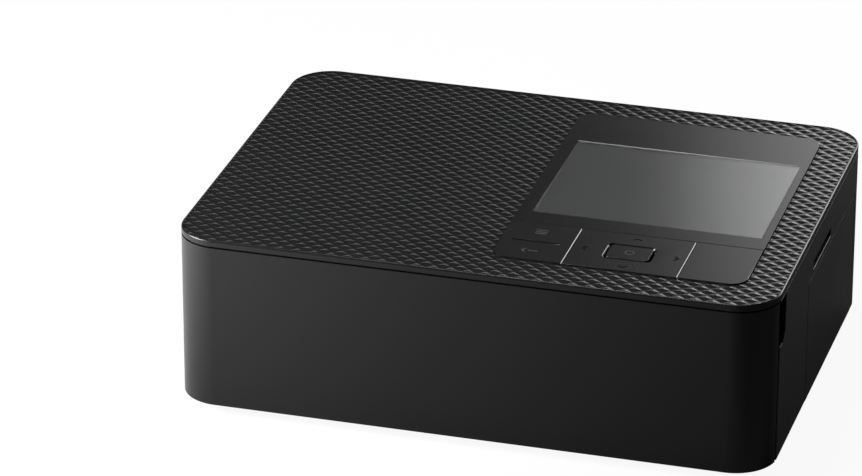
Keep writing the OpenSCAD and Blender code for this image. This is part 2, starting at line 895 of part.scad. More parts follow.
module menu_key() {
    slit_l = 15;
    slit_w = 0.9;
    slit_deep = 0.5;
    color("#141414")
        difference() {
            union() {
                key_cap(panel_x0 + key_gap, menu_x1 - key_gap / 2);
                block([menu_x - menu_post + 1, key_mid_y - 0.8, tilt_z - 0.6],
                    [menu_x + menu_post - 1, key_mid_y + 0.8, key_under + eps]);
                rod_x(menu_x - menu_post - 0.6, menu_x + menu_post + 0.6, key_mid_y, tilt_z, pivot_r);
                for (sy = [-1, 1])
                    translate([menu_x, key_mid_y + sy * menu_switch_y, plunger_top + stem_gap])
                        cylinder(h = key_under - plunger_top - stem_gap + eps, r = stem_r);
            }
            // the slit between the key's two halves
            block([menu_x - slit_l / 2, key_mid_y - slit_w / 2, panel_face - slit_deep],
                [menu_x + slit_l / 2, key_mid_y + slit_w / 2, panel_face + 1]);
        }
}

module nav_gimbal() {
    color("#3a3a3a") {
        translate([nav_x, key_mid_y, tilt_z - ring_t / 2])
            linear_extrude(ring_t)
                difference() {
                    square([ring_w, ring_d], center = true);
                    square([ring_w - 2 * ring_wall, ring_d - 2 * ring_wall], center = true);
                }
        for (sx = [-1, 1]) {
            x = nav_x + sx * (ring_w / 2 + 0.8 - eps);
            rod_x(x - 0.8, x + 0.8, key_mid_y, tilt_z, pivot_r);
            y = key_mid_y + sx * (ring_d / 2 + 0.8 - eps);
            rod_y(nav_x, y - 0.8, y + 0.8, tilt_z, pivot_r);
        }
    }
}

module nav_key() {
    hole_w = ok_w + 0.8;
    hole_d = ok_d + 0.8;
    color("#141414")
        difference() {
            union() {
                key_cap(nav_x0 + key_gap / 2, nav_x1 - key_gap / 2);
                for (sx = [-1, 1])
                    translate([nav_x + sx * nav_switch_x, key_mid_y, plunger_top + stem_gap])
                        cylinder(h = key_under - plunger_top - stem_gap + eps, r = stem_r);
                for (sy = [-1, 1]) {
                    translate([nav_x, key_mid_y + sy * nav_switch_y, plunger_top + stem_gap])
                        cylinder(h = key_under - plunger_top - stem_gap + eps, r = stem_r);
                    translate([nav_x - 1.5, key_mid_y + sy * (ring_d / 2 + 0.9) - 0.6, tilt_z - 0.9])
                        difference() {
                            cube([3, 1.2, key_under - tilt_z + 0.9 + eps]);
                            rod_y(1.5, -1, 3, 0.9, pivot_r + run_gap);
                        }
                }
            }
            translate([nav_x, key_mid_y, key_under - 1])
                linear_extrude(key_t + 2) square([hole_w, hole_d], center = true);
            // the recess slopes in towards the centre key
            translate([nav_x, key_mid_y, panel_face])
                hull() {
                    translate([0, 0, eps])
                        linear_extrude(eps) square([ok_recess_w, ok_recess_d], center = true);
                    translate([0, 0, -0.9])
                        linear_extrude(eps) square([hole_w, hole_d], center = true);
                }
        }
}

module ok_key() {
    color("#141414") {
        translate([nav_x, key_mid_y, panel_face - 1.4])
            linear_extrude(1.4) round_rect(ok_w, ok_d, 1.2);
        translate([nav_x, key_mid_y, plunger_top + stem_gap])
            cylinder(h = panel_face - 1.4 - plunger_top - stem_gap + eps, r = 2);
    }
}

module print_key() {
    color("#141414") {
        key_cap(nav_x1 + key_gap / 2, panel_x1 - key_gap);
        for (sx = [-1, 1])
            translate([print_x + sx * print_guide_x, key_mid_y, tray_top + 0.6])
                cylinder(h = key_under - tray_top - 0.6 + eps, r = guide_r);
        translate([print_x, key_mid_y, plunger_top + stem_gap])
            cylinder(h = key_under - plunger_top - stem_gap + eps, r = stem_r);
    }
}

module switch_places() {
    for (sy = [-1, 1]) {
        translate([menu_x, key_mid_y + sy * menu_switch_y, board_top]) children();
        translate([nav_x, key_mid_y + sy * nav_switch_y, board_top]) children();
        translate([nav_x + sy * nav_switch_x, key_mid_y, board_top]) children();
    }
    translate([nav_x, key_mid_y, board_top]) children();
    translate([print_x, key_mid_y, board_top]) children();
}

module key_board() {
    color("#1f5b34")
        difference() {
            translate([0, 0, tray_top])
                linear_extrude(board_t)
                    intersection() {
                        panel_plan(seat_gap);
                        translate([panel_x0, panel_y0]) square([panel_w, key_row_d - key_gap - 0.4]);
                    }
            for (sx = [-1, 1]) {
                for (x = [menu_x + sx * menu_post, nav_x + sx * nav_post])
                    block([x - 1, key_mid_y - 2, tray_top - 1], [x + 1, key_mid_y + 2, board_top + 1]);
                translate([print_x + sx * print_guide_x, key_mid_y, tray_top - 1])
                    cylinder(h = 4, r = guide_r + 1.3);
            }
        }
}

module key_switches() {
    color("silver")
        switch_places() {
            translate([-switch_w / 2, -switch_d / 2, 0]) cube([switch_w, switch_d, switch_h]);
            translate([0, 0, switch_h - eps]) cylinder(h = plunger_h + eps, r = plunger_r);
        }
}

// ---- Doors ----

module front_door() {
    rib_h = 1.6;
    rib_t = 1.2;
    color("#141414")
        difference() {
            union() {
                translate([0, 0, stand_gap])
                    linear_extrude(side_h)
                        intersection() {
                            plan_ring(0, door_t);
                            translate([-hw, -hd]) square([body_w, door_reach]);
                        }
                // ribs inside the door
                for (i = [-2:2])
                    translate([i * (door_hinge_x - 20) / 2, 0, 0])
                        block([-rib_t / 2, -hd + door_t - eps, floor_z + 6.7],
                            [rib_t / 2, -hd + door_t + rib_h, side_top - 6]);
                // hinge barrels
                for (sx = [-1, 1]) {
                    rod_x(sx * door_hinge_x - hinge_l / 2, sx * door_hinge_x + hinge_l / 2,
                        door_axis_y, door_axis_z, knuckle_r);
                    block([sx * door_hinge_x - hinge_l / 2, -hd + door_t - eps, door_axis_z - 1.2],
                        [sx * door_hinge_x + hinge_l / 2, door_axis_y, door_axis_z + 1.2]);
                }
            }
            for (sx = [-1, 1])
                rod_x(sx * door_hinge_x - hinge_l, sx * door_hinge_x + hinge_l,
                    door_axis_y, door_axis_z, door_pin_r + run_gap);
        }
}

module door_pins() {
    reach = hinge_l / 2 + 0.2 + door_hinge_d;
    color("silver")
        for (sx = [-1, 1])
            rod_x(sx * door_hinge_x - reach, sx * door_hinge_x + reach,
                door_axis_y, door_axis_z, door_pin_r);
}

module front_frame() {
    color("#1c1c1c")
        difference() {
            block([-frame_half_w, frame_y, floor_z], [frame_half_w, frame_y + frame_plate_t, band_z - 0.2]);
            block([-bay_w / 2, frame_y - 1, bay_floor],
                [bay_w / 2, frame_y + frame_plate_t + 1, bay_floor + bay_h]);
            // the hinge ears pass in front
            for (sx = [-1, 1])
                block([sx * door_hinge_x - 8, frame_y - 1, floor_z - 1],
                    [sx * door_hinge_x + 8, frame_y + frame_plate_t + 1, door_axis_z + knuckle_r + 0.4]);
        }
}

// Distance along Y of each barrel of the ink door's hinges
ink_barrels = [ink_y0 + ink_hinge_in, ink_y1 - ink_hinge_in - ink_hinge_l];
module ink_door() {
    lip_in = 4;
    lip_t = 1.2;
    color("#161616")
        difference() {
            union() {
                block([hw - wall_t, ink_y0, stand_gap], [hw, ink_y1, ink_top]);
                for (y = ink_barrels) {
                    rod_y(ink_axis_x, y, y + ink_hinge_l, ink_axis_z, ink_knuckle_r);
                    block([ink_axis_x, y, ink_axis_z - 1.2],
                        [hw - wall_t + eps, y + ink_hinge_l, ink_axis_z + 1.2]);
                }
                // stiffening lip along the upper edge
                block([hw - wall_t - lip_t, ink_y0 + lip_in, ink_top - lip_in],
                    [hw - wall_t + eps, ink_y1 - lip_in, ink_top - lip_in + lip_t]);
            }
            for (y = ink_barrels)
                rod_y(ink_axis_x, y - 1, y + ink_hinge_l + 1, ink_axis_z, ink_pin_r + run_gap);
        }
}

module ink_door_pins() {
    color("silver") {
        rod_y(ink_axis_x, ink_barrels[0] - 0.2 - ink_hinge_l, ink_barrels[0] + ink_hinge_l,
            ink_axis_z, ink_pin_r);
        rod_y(ink_axis_x, ink_barrels[1], ink_barrels[1] + 2 * ink_hinge_l + 0.2,
            ink_axis_z, ink_pin_r);
    }
}

// ---- Steel frame and paper path ----

// Bearing places: distance along Y, height, shaft radius
bearings = [
    [head_y, platen_z, shaft_r],
    [grip_y, grip_z, shaft_r],
    [grip_y, pinch_z, pinch_shaft_r]
];

// A side plate of the steel frame between two distances along X
module side_plate(x0) {
    difference() {
        block([x0, plate_y0, floor_z], [x0 + plate_t, plate_y1, plate_top]);
        for (b = bearings)
            rod_x(x0 - 1, x0 + plate_t + 1, b[0], b[1], b[2] + bush_wall);
        rod_x(x0 - 1, x0 + plate_t + 1, pickup_shaft_y, pickup_shaft_z, pickup_shaft_r);
        rod_x(x0 - 1, x0 + plate_t + 1, pivot_y, pivot_z, pivot_pin_r);
    }
}

// Feet of a side plate, bent outwards and screwed down
module plate_feet(x0) {
    for (y = screw_ys)
        difference() {
            block([x0, y - 4, floor_z], [x0 + 7, y + 4, floor_z + plate_t]);
            translate([x0 < 0 ? -screw_x : screw_x, y, 0]) cylinder(h = 20, r = screw_r);
        }
}

module chassis_left() {
    bracket_top = motor_z + 8;
    color("#8d9196") {
        difference() {
            side_plate(-plate_out);
            // bearing of the ribbon drive
            rod_x(-plate_out - 1, -plate_x + 1, takeup_y, ink_z, spindle_r + run_gap);
            // bearing of the cam
            rod_x(-plate_out - 1, -plate_x + 1, cam_y, cam_z, cam_shaft_r + run_gap);
            // window for the head arm's tab
            block([-plate_out - 1, cam_y - tab_w / 2 - 1.5, arm_z - 0.4],
                [-plate_x + 1, cam_y + tab_w / 2 + 1.5, plate_top + 1]);
        }
        plate_feet(-plate_out - 7 + eps);
        // bracket that carries the feed motor
        difference() {
            block([motor_x, motor_y - motor_r, floor_z], [motor_x + 1, motor_y + motor_r, bracket_top]);
            rod_x(motor_x - 1, motor_x + 2, motor_y, motor_z, motor_collar_r);
        }
        block([motor_x + 1 - eps, motor_y - motor_r, floor_z],
            [-plate_out + eps, motor_y - motor_r + 1, bracket_top]);
    }
}

module chassis_right() {
    color("#8d9196") {
        difference() {
            side_plate(plate_x);
            block([plate_x - 1, supply_y - chamber_r - 1.2, ink_z - chamber_r - 0.9],
                [plate_out + 1, takeup_y + chamber_r + 0.7, ink_z + chamber_r + 1]);
        }
        plate_feet(plate_out - eps);
        // stud of the ink lever
        rod_x(plate_out - eps, plate_out + 3.4, lever_y, lever_z, lever_pivot_r);
    }
}

module chassis_bridges() {
    color("#8d9196") {
        block([-plate_out, plate_y0, plate_top], [plate_out, bridge_front_y, plate_top + bridge_t]);
        block([-plate_out, bridge_back_y, plate_top], [plate_out, bridge_back_end, plate_top + bridge_t]);
        // stand-offs of the main board
        for (x = [main_x0 + 4, main_x1 - 4], y = [main_y0 + 4, main_y1 - 3])
            translate([x, y, plate_top + bridge_t - eps])
                cylinder(h = main_z - plate_top - bridge_t + eps, r = 2);
    }
}

module cassette_guide() {
    half = plate_x - seat_gap;
    color("#1c1c1c") {
        block([-half, plate_y0 + 0.2, floor_z], [half, bay_back, bay_floor]);
        for (sx = [-1, 1])
            translate([sx * (half + bay_w / 2) / 2, 0, 0])
                block([-(half - bay_w / 2) / 2, plate_y0 + 0.2, bay_floor - eps],
                    [(half - bay_w / 2) / 2, bay_back, bay_floor + rail_h]);
        block([-half, bay_back, floor_z], [half, bay_back + 1.2, guide_top - guide_t - 0.2]);
    }
}

module paper_guide() {
    half = plate_x - seat_gap;
    slot_half = roller_l / 2 + 1;
    bearing_side = 4;
    bearing_len = 6;
    color("#2c2c2c")
        difference() {
            block([-half, guide_y0, guide_top - guide_t], [half, guide_y1, guide_top]);
            // slots for the platen and the grip roller
            for (roller = [[head_y, platen_r + slot_side], [grip_y, grip_r + slot_side]])
                block([-slot_half, roller[0] - roller[1], 0],
                    [slot_half, roller[0] + roller[1], guide_top + 1]);
            // room for the pinch roller's bearings
            for (sx = [-1, 1])
                translate([sx * half, 0, 0])
                    block([-bearing_side, grip_y - bearing_len, 0],
                        [bearing_side, grip_y + bearing_len, guide_top + 1]);
        }
}

module roller_bushes() {
    color("#d8d4c8")
        for (b = bearings, x = [-plate_out - 0.6, plate_x - 0.6])
            difference() {
                rod_x(x, x + bush_t, b[0], b[1], b[2] + bush_wall);
                rod_x(x - 1, x + bush_t + 1, b[0], b[1], b[2] + run_gap);
            }
}

module platen_shaft() {
    color("silver") {
        rod_x(gear_x - 0.2, plate_out + 2, head_y, platen_z, shaft_r);
        rod_x(-roller_l / 2 - 2, roller_l / 2 + 2, head_y, platen_z, shaft_r + 1);
    }
    color("#e6e0cc") {
        along_x(gear_x, head_y, platen_z) gear(platen_teeth, 0, shaft_r - eps);
        pulley(head_y, platen_z, platen_pulley_r);
    }
}

module platen_rubber() {
    color("#3a3a3a")
        difference() {
            rod_x(-roller_l / 2, roller_l / 2, head_y, platen_z, platen_r);
            rod_x(-roller_l, roller_l, head_y, platen_z, shaft_r + 1);
        }
}

module grip_roller() {
    color("#b8bcc0") {
        rod_x(belt_x - 0.2, plate_out + 2, grip_y, grip_z, shaft_r);
        rod_x(-roller_l / 2, roller_l / 2, grip_y, grip_z, grip_r);
        pulley(grip_y, grip_z, grip_pulley_r);
    }
}

module pinch_roller() {
    color("#4a4a4a") {
        rod_x(-plate_out - 2, plate_out + 2, grip_y, pinch_z, pinch_shaft_r);
        rod_x(-roller_l / 2, roller_l / 2, grip_y, pinch_z, pinch_r);
    }
}

// The fixed shafts that the pickup arm and the head arm turn on
module pivot_shafts() {
    color("silver") {
        rod_x(-plate_out, plate_out, pickup_shaft_y, pickup_shaft_z, pickup_shaft_r);
        rod_x(-plate_out, plate_out, pivot_y, pivot_z, pivot_pin_r);
    }
}

module pickup_arm() {
    a = [pickup_shaft_y, pickup_shaft_z];
    b = [pickup_y, pickup_z];
    color("#2c2c2c")
        difference() {
            union() {
                for (sx = [-1, 1])
                    along_x(sx * (pickup_w / 2 + arm_gap + cheek_t / 2) - cheek_t / 2, 0, 0)
                        linear_extrude(cheek_t) link(a, arm_boss_r, b, arm_end_r);
                // the sleeve that joins the cheeks
                rod_x(-pickup_w / 2 - arm_gap - eps, pickup_w / 2 + arm_gap + eps,
                    pickup_shaft_y, pickup_shaft_z, arm_sleeve_r);
            }
            rod_x(-pickup_w, pickup_w, pickup_shaft_y, pickup_shaft_z, pickup_shaft_r + run_gap);
            rod_x(-pickup_w, pickup_w, pickup_y, pickup_z, pickup_axle_r + run_gap);
        }
}

module pickup_roller() {
    reach = pickup_w / 2 + arm_gap + cheek_t + 0.4;
    color("#3a3a3a") {
        rod_x(-pickup_w / 2, pickup_w / 2, pickup_y, pickup_z, pickup_r);
        rod_x(-reach, reach, pickup_y, pickup_z, pickup_axle_r);
    }
}

module feed_motor() {
    color("#9a9da1")
        difference() {
            union() {
                rod_x(motor_x - motor_l, motor_x, motor_y, motor_z, motor_r);
                rod_x(motor_x - eps, motor_x + 1, motor_y, motor_z, motor_collar_r - bore_gap);
            }
            rod_x(motor_x - motor_bore, motor_x + 2, motor_y, motor_z, motor_shaft_r + run_gap);
        }
}

module motor_pinion() {
    color("#c9a24a") {
        rod_x(motor_x - motor_bore + 0.4, gear_x + gear_w + 0.5, motor_y, motor_z, motor_shaft_r);
        along_x(gear_x, motor_y, motor_z) gear(pinion_teeth, motor_mesh, motor_shaft_r - eps);
    }
}

// The belt that turns the grip roller with the platen
module feed_belt() {
    a = [head_y, platen_z];
    b = [grip_y, grip_z];
    color("#1a1a1a")
        along_x(belt_x + flange_t + run_gap, 0, 0)
            linear_extrude(gear_w - 2 * flange_t - 2 * run_gap)
                difference() {
                    link(a, platen_pulley_r + belt_t, b, grip_pulley_r + belt_t);
                    link(a, platen_pulley_r + run_gap, b, grip_pulley_r + run_gap);
                }
}

module ribbon_motor() {
    pillar_off = 14.5;
    pillar_r = 2.5;
    plate_front = ribbon_y - pillar_off - pillar_r - 1;
    color("#9a9da1") {
        difference() {
            union() {
                rod_x(motor_x - motor_l, motor_x, ribbon_y, ribbon_z, ribbon_motor_r);
                // mounting plate, and the pillar that joins it to the steel frame
                block([motor_x, plate_front, ribbon_z - 5], [motor_x + 1, ribbon_y + 5, ribbon_z + 4.4]);
                rod_x(motor_x, -plate_out, ribbon_y - pillar_off, ribbon_z, pillar_r);
            }
            rod_x(motor_x - motor_bore, motor_x + 2, ribbon_y, ribbon_z, motor_shaft_r + run_gap);
        }
    }
}

module ribbon_pinion() {
    color("#c9a24a") {
        rod_x(motor_x - motor_bore + 0.4, gear_x + gear_w, ribbon_y, ribbon_z, motor_shaft_r);
        along_x(gear_x, ribbon_y, ribbon_z) gear(pinion_teeth, ribbon_mesh, motor_shaft_r - eps);
    }
}

module takeup_drive() {
    color("#e6e0cc") {
        rod_x(gear_x - 0.4, case_x0 - 2.4, takeup_y, ink_z, spindle_r);
        along_x(gear_x, takeup_y, ink_z) gear(drive_teeth, 0, spindle_r - eps);
        // the dog that enters the spool's end
        block([case_x0 - 2.4 - eps, takeup_y - 2, ink_z - 0.6], [case_x0 - 0.4, takeup_y + 2, ink_z + 0.6]);
    }
}

// ---- Print head ----

module head_arm() {
    back = head_y + arm_back;
    color("#a5a8ab") {
        block([-arm_half_w, pivot_y - 1, arm_z], [arm_half_w, back, arm_z + arm_t]);
        for (sx = [-1, 1])
            along_x(sx * (arm_half_w - 0.75) - 0.75, 0, 0)
                linear_extrude(1.5)
                    difference() {
                        union() {
                            translate([pivot_y, pivot_z]) circle(ear_r);
                            translate([pivot_y - ear_r, arm_z]) square([2 * ear_r, pivot_z - arm_z]);
                        }
                        translate([pivot_y, pivot_z]) circle(pivot_pin_r + run_gap);
                    }
        // the tab that rides on the cam
        block([-arm_half_w, back - eps, arm_z], [-arm_half_w + 4, cam_y + tab_w / 2, arm_z + arm_t]);
        block([belt_x + 0.4, cam_y - tab_w / 2, arm_z],
            [-arm_half_w + eps, cam_y + tab_w / 2, arm_z + arm_t]);
    }
}

module thermal_head() {
    half = paper_w / 2 + 4;
    color("#e8e4da")
        block([-half, head_y - sink_d / 2 + 1, head_z], [half, head_y + sink_d / 2 - 1, sink_z]);
}

module heat_sink() {
    half = paper_w / 2 + 4;
    base_h = 5;
    rail_t = 2;
    fin_t = 1.4;
    fin_step = 5.8;
    side_fins = floor((half - fin_t / 2) / fin_step);
    color("#b4b7ba") {
        block([-half, head_y - sink_d / 2, sink_z], [half, head_y + sink_d / 2, sink_z + base_h]);
        // upright fins, and the top rail that is screwed to the arm
        for (i = [-side_fins:side_fins])
            block([i * fin_step - fin_t / 2, head_y - sink_d / 2, sink_z + base_h - eps],
                [i * fin_step + fin_t / 2, head_y + sink_d / 2, arm_z - rail_t + eps]);
        block([-half, head_y - sink_d / 2, arm_z - rail_t], [half, head_y + sink_d / 2, arm_z]);
    }
}

module head_cam() {
    color("#e6e0cc") {
        rod_x(belt_x + 0.2, -plate_x + 1.6, cam_y, cam_z, cam_shaft_r);
        rod_x(belt_x + 0.4, belt_x + 0.4 + gear_w, cam_y, cam_z - cam_off, cam_r);
    }
}

// ---- Ink cassette ----

module ink_case() {
    grip_l = 9;
    grip_w = 18;
    grip_t = 1.6;
    inner_r = chamber_r - cassette_wall;
    color("#4a4d50") {
        difference() {
            for (y = [supply_y, takeup_y])
                rod_x(case_x0, case_x1, y, ink_z, chamber_r);
            for (y = [supply_y, takeup_y]) {
                rod_x(case_x0 + end_t, case_x1 - end_t, y, ink_z, inner_r);
                rod_x(case_x0 - 1, case_x1 + 1, y, ink_z, journal_r + run_gap);
            }
            // the ribbon leaves here, on the sides that face the head
            block([case_x0 + end_t, supply_y + 1, 0], [case_x1 - end_t, head_y, ink_z - 4]);
            block([case_x0 + end_t, head_y, 0], [case_x1 - end_t, takeup_y - 1, ink_z - 4]);
        }
        // cross pieces that join the chambers' ends
        for (x = [case_x0, case_x1 - end_t])
            block([x, supply_y + chamber_r - 2, ink_z - 5],
                [x + end_t, takeup_y - chamber_r + 2, ink_z + 5]);
        // grip on the outer end
        translate([case_x1 - eps, head_y - grip_w / 2, ink_z - 3]) cube([grip_l, grip_w, grip_t]);
    }
}

// A spool with its roll of ribbon: journals turn in the cassette's end walls
module spool(y, r) {
    rod_x(case_x0 - 0.2, case_x1 + 0.4, y, ink_z, journal_r);
    rod_x(case_x0 + end_t + 0.4, case_x1 - end_t - 0.4, y, ink_z, core_r);
    rod_x(-roll_l / 2, roll_l / 2, y, ink_z, r);
}

module supply_spool() {
    color("#2b2340") spool(supply_y, roll_r);
}

module takeup_spool() {
    color("#2b2340") spool(takeup_y, used_roll_r);
}

// The film leaves each roll at a short way past its lowest point, and runs flat under the head
module ribbon_web() {
    off = 2;
    flat = 6;
    supply_z = ink_z - sqrt(roll_r * roll_r - off * off) - eps - web_t;
    takeup_z = ink_z - sqrt(used_roll_r * used_roll_r - off * off) - eps - web_t;
    lower = [
        [supply_y + off, supply_z], [head_y - flat, web_z],
        [head_y + flat, web_z], [takeup_y - off, takeup_z]
    ];
    color("#3d3358")
        along_x(-roll_l / 2, 0, 0)
            linear_extrude(roll_l)
                polygon(concat(lower, [for (i = [3:-1:0]) lower[i] + [0, web_t]]));
}

module ink_lever() {
    color("#3f6fb5")
        along_x(plate_out + 0.4, 0, 0)
            linear_extrude(1.6)
                difference() {
                    union() {
                        link([lever_y, lever_z], lever_r, [lever_y - lever_reach, lever_z], 1.6);
                        link([lever_y, lever_z], lever_r, [lever_y, ink_z - lever_hook], 1.8);
                    }
                    translate([lever_y, lever_z]) circle(lever_pivot_r + run_gap);
                }
}

// ---- Boards, sockets and fan ----

// The larger parts on the main board: left edge, front edge, width, depth and height
main_parts = [
    [main_x0 + 20, main_y0 + 28, 16, 16, 1.2],
    [main_x0 + 22, main_y0 + 52, 10, 12, 1],
    [main_x0 + 4, main_y0 + 8, 6, 70, 2],
    [main_x1 - 13, main_y1 - 24, 10, 16, 2]
];
module main_board() {
    color("#1f5b34")
        block([main_x0, main_y0, main_z], [main_x1, main_y1, main_z + main_t]);
    color("#202225")
        for (part = main_parts)
            translate([part[0], part[1], main_z + main_t - eps]) cube([part[2], part[3], part[4]]);
}

module card_socket() {
    shell_h = card_h + 2 * card_shell;
    z0 = card_z - shell_h / 2;
    x1 = hw - wall_t - seat_gap;
    color("#9a9da1")
        difference() {
            block([card_x0, card_y - card_body_l / 2, z0], [x1, card_y + card_body_l / 2, z0 + shell_h]);
            block([card_x0 + 2, card_y - card_l / 2, z0 + card_shell],
                [x1 + 1, card_y + card_l / 2, z0 + card_shell + card_h]);
        }
    // the small board that carries the socket
    color("#1f5b34")
        block([card_x0, card_y - card_body_l / 2 - 2, z0 + shell_h - eps],
            [x1, card_y + card_body_l / 2 + 2, z0 + shell_h + 1]);
}

module port_board() {
    color("#1f5b34")
        block([port_x, port_y0, floor_z + 0.2], [port_x + 1, sockets_y1, usb_z + usb_l / 2 + 2]);
}

module power_sockets() {
    color("#1a1a1a")
        difference() {
            block([port_x - jack_w, port_y0, jack_z - jack_h / 2],
                [port_x, sockets_y1, jack_z + jack_h / 2]);
            rod_y(port_x - jack_w / 2, port_y0 + 3, hd, jack_z, jack_r);
        }
    color("silver") {
        rod_y(port_x - jack_w / 2, port_y0 + 2, sockets_y1 - 1, jack_z, jack_pin_r);
        difference() {
            translate([port_x - usb_t / 2, port_y0 + 5, usb_z])
                rotate([-90, 0, 0])
                    linear_extrude(sockets_y1 - port_y0 - 5)
                        round_rect(usb_t, usb_l, usb_t / 2 - eps);
            translate([port_x - usb_t / 2, port_y0 + 7, usb_z])
                rotate([-90, 0, 0])
                    linear_extrude(hd)
                        round_rect(usb_t - 0.7, usb_l - 0.7, usb_t / 2 - 0.35 - eps);
        }
    }
}

module power_key() {
    color("#141414") {
        along_x(-hw, power_y, power_z)
            linear_extrude(wall_t + 0.1 + eps) round_rect(power_l, power_w, power_w / 2 - eps);
        along_x(power_flange_x, power_y, power_z)
            linear_extrude(power_flange_t) round_rect(power_l + 3, power_w + 3, power_w / 2 + 1.4);
    }
}

// The small board behind the power key, with its switch
module power_board() {
    color("#1f5b34")
        translate([power_board_x, 0, 0])
            block([0, power_y - power_post_y - 1.6, power_z - 3],
                [board_t, power_y + power_post_y + 1.6, power_z + 3]);
    color("silver")
        along_x(power_board_x, power_y, power_z)
            rotate([180, 0, 0]) {
                translate([-switch_w / 2, -switch_d / 2, -eps]) cube([switch_w, switch_d, switch_h + eps]);
                translate([0, 0, switch_h - eps]) cylinder(h = plunger_h + eps, r = plunger_r);
            }
}

module fan_frame() {
    color("#1a1a1a") {
        difference() {
            block([-fan_x - fan_w / 2, fan_y1 - fan_t, fan_z - fan_w / 2],
                [-fan_x + fan_w / 2, fan_y1, fan_z + fan_w / 2]);
            rod_y(-fan_x, fan_y1 - fan_t - 1, fan_y1 + 1, fan_z, fan_hole_r);
        }
        // the motor's seat and its three struts, on the side away from the rear panel
        difference() {
            union() {
                rod_y(-fan_x, fan_y1 - fan_t, fan_y1 - fan_t + 1.4, fan_z, fan_hub_r);
                for (a = [30:120:270])
                    translate([-fan_x, fan_y1 - fan_t, fan_z])
                        rotate([0, a, 0]) translate([0, 0, -0.8]) cube([fan_hole_r + 0.6, 1.2, 1.6]);
            }
            rod_y(-fan_x, fan_y1 - fan_t - 1, fan_y1 - fan_t + 3, fan_z, 1 + run_gap);
        }
    }
}

module fan_rotor() {
    blade_t = 0.9;
    blade_w = 5.2;
    blade_turn = 40;
    y0 = fan_y1 - fan_t + 1.9;
    color("#222222") {
        rod_y(-fan_x, y0, fan_y1 - 0.6, fan_z, fan_hub_r);
        rod_y(-fan_x, fan_y1 - fan_t + 0.2, y0 + eps, fan_z, 1);
        for (i = [0:fan_blades - 1])
            translate([-fan_x, (y0 + fan_y1 - 0.6) / 2, fan_z])
                rotate([0, 360 * i / fan_blades, 0])
                    translate([fan_hub_r - 0.6, 0, 0])
                        rotate([blade_turn, 0, 0])
                            translate([0, -blade_w / 2, -blade_t / 2])
                                cube([blade_r - fan_hub_r, blade_w, blade_t]);
    }
}

bottom_case();
rubber_feet();
case_screws();
left_panel();
right_panel();
rear_panel();
top_cover();
top_plate();
panel_frame();
display_window();
lcd_module();
panel_tray();
menu_key();
nav_gimbal();
nav_key();
ok_key();
print_key();
key_board();
key_switches();
front_door();
door_pins();
front_frame();
ink_door();
ink_door_pins();
cassette_guide();
chassis_left();
chassis_right();
chassis_bridges();
paper_guide();
roller_bushes();
platen_shaft();
platen_rubber();
grip_roller();
pinch_roller();
pivot_shafts();
pickup_arm();
pickup_roller();
feed_motor();
motor_pinion();
feed_belt();
ribbon_motor();
ribbon_pinion();
takeup_drive();
head_arm();
thermal_head();
heat_sink();
head_cam();
ink_case();
supply_spool();
takeup_spool();
ribbon_web();
ink_lever();
main_board();
card_socket();
port_board();
power_sockets();
power_key();
power_board();
fan_frame();
fan_rotor();
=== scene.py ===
# %% [markdown]
# # A compact photo printer
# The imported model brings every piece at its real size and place. This lesson dresses it: the lid gets its
# skin of small diamond bumps, the casings and keys get rounded edges, the keys get their marks, and every
# surface gets a material of its own. Lengths are in metres, X runs right, Y back and Z up.

# %% Load the frame
import json
import math
import bmesh
import bpy
from mathutils import Matrix, Vector

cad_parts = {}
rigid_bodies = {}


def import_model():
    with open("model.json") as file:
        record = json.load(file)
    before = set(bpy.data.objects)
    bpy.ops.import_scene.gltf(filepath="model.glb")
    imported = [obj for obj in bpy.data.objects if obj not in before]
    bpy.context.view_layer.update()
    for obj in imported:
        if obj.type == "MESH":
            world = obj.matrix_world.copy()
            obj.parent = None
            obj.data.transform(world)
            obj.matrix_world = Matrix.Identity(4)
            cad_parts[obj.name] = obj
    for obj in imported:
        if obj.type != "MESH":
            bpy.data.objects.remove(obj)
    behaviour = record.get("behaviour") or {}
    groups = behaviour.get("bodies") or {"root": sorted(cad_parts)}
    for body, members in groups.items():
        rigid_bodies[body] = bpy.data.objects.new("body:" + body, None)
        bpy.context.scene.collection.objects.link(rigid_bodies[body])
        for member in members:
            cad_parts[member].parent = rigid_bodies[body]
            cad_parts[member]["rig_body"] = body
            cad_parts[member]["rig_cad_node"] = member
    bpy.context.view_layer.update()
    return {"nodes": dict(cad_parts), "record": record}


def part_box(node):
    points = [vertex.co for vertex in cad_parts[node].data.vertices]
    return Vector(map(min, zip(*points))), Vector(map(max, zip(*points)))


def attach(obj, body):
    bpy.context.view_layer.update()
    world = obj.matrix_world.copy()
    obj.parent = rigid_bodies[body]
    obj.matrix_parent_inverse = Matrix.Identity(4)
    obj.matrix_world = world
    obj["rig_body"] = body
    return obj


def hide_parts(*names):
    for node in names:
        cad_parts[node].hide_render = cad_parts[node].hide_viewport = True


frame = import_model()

MM = 0.001
print("pieces in the frame:", len(frame["nodes"]))

# %% [markdown]
# ## The camera
# A product photograph is taken from far away with a long lens, so that the box hardly narrows towards the
# back. The camera stands to the right of the middle and looks down by 25 degrees. Its place is worked out
# from those two angles and its distance, and it is moved sideways to frame the printer. The numbers come
# from fitting a box with round corners to the printer's outline.

# %% Camera
AZIMUTH = math.radians(16.044)
ELEVATION = math.radians(24.986)
ROLL = math.radians(0.0565)
DISTANCE = 1.52068
SIDEWAYS = -0.028667
UPWARDS = 0.009089
AIM_HEIGHT = 0.0288
LENS_MM = 208.43
SENSOR_MM = 36.0
NEAREST = 0.05

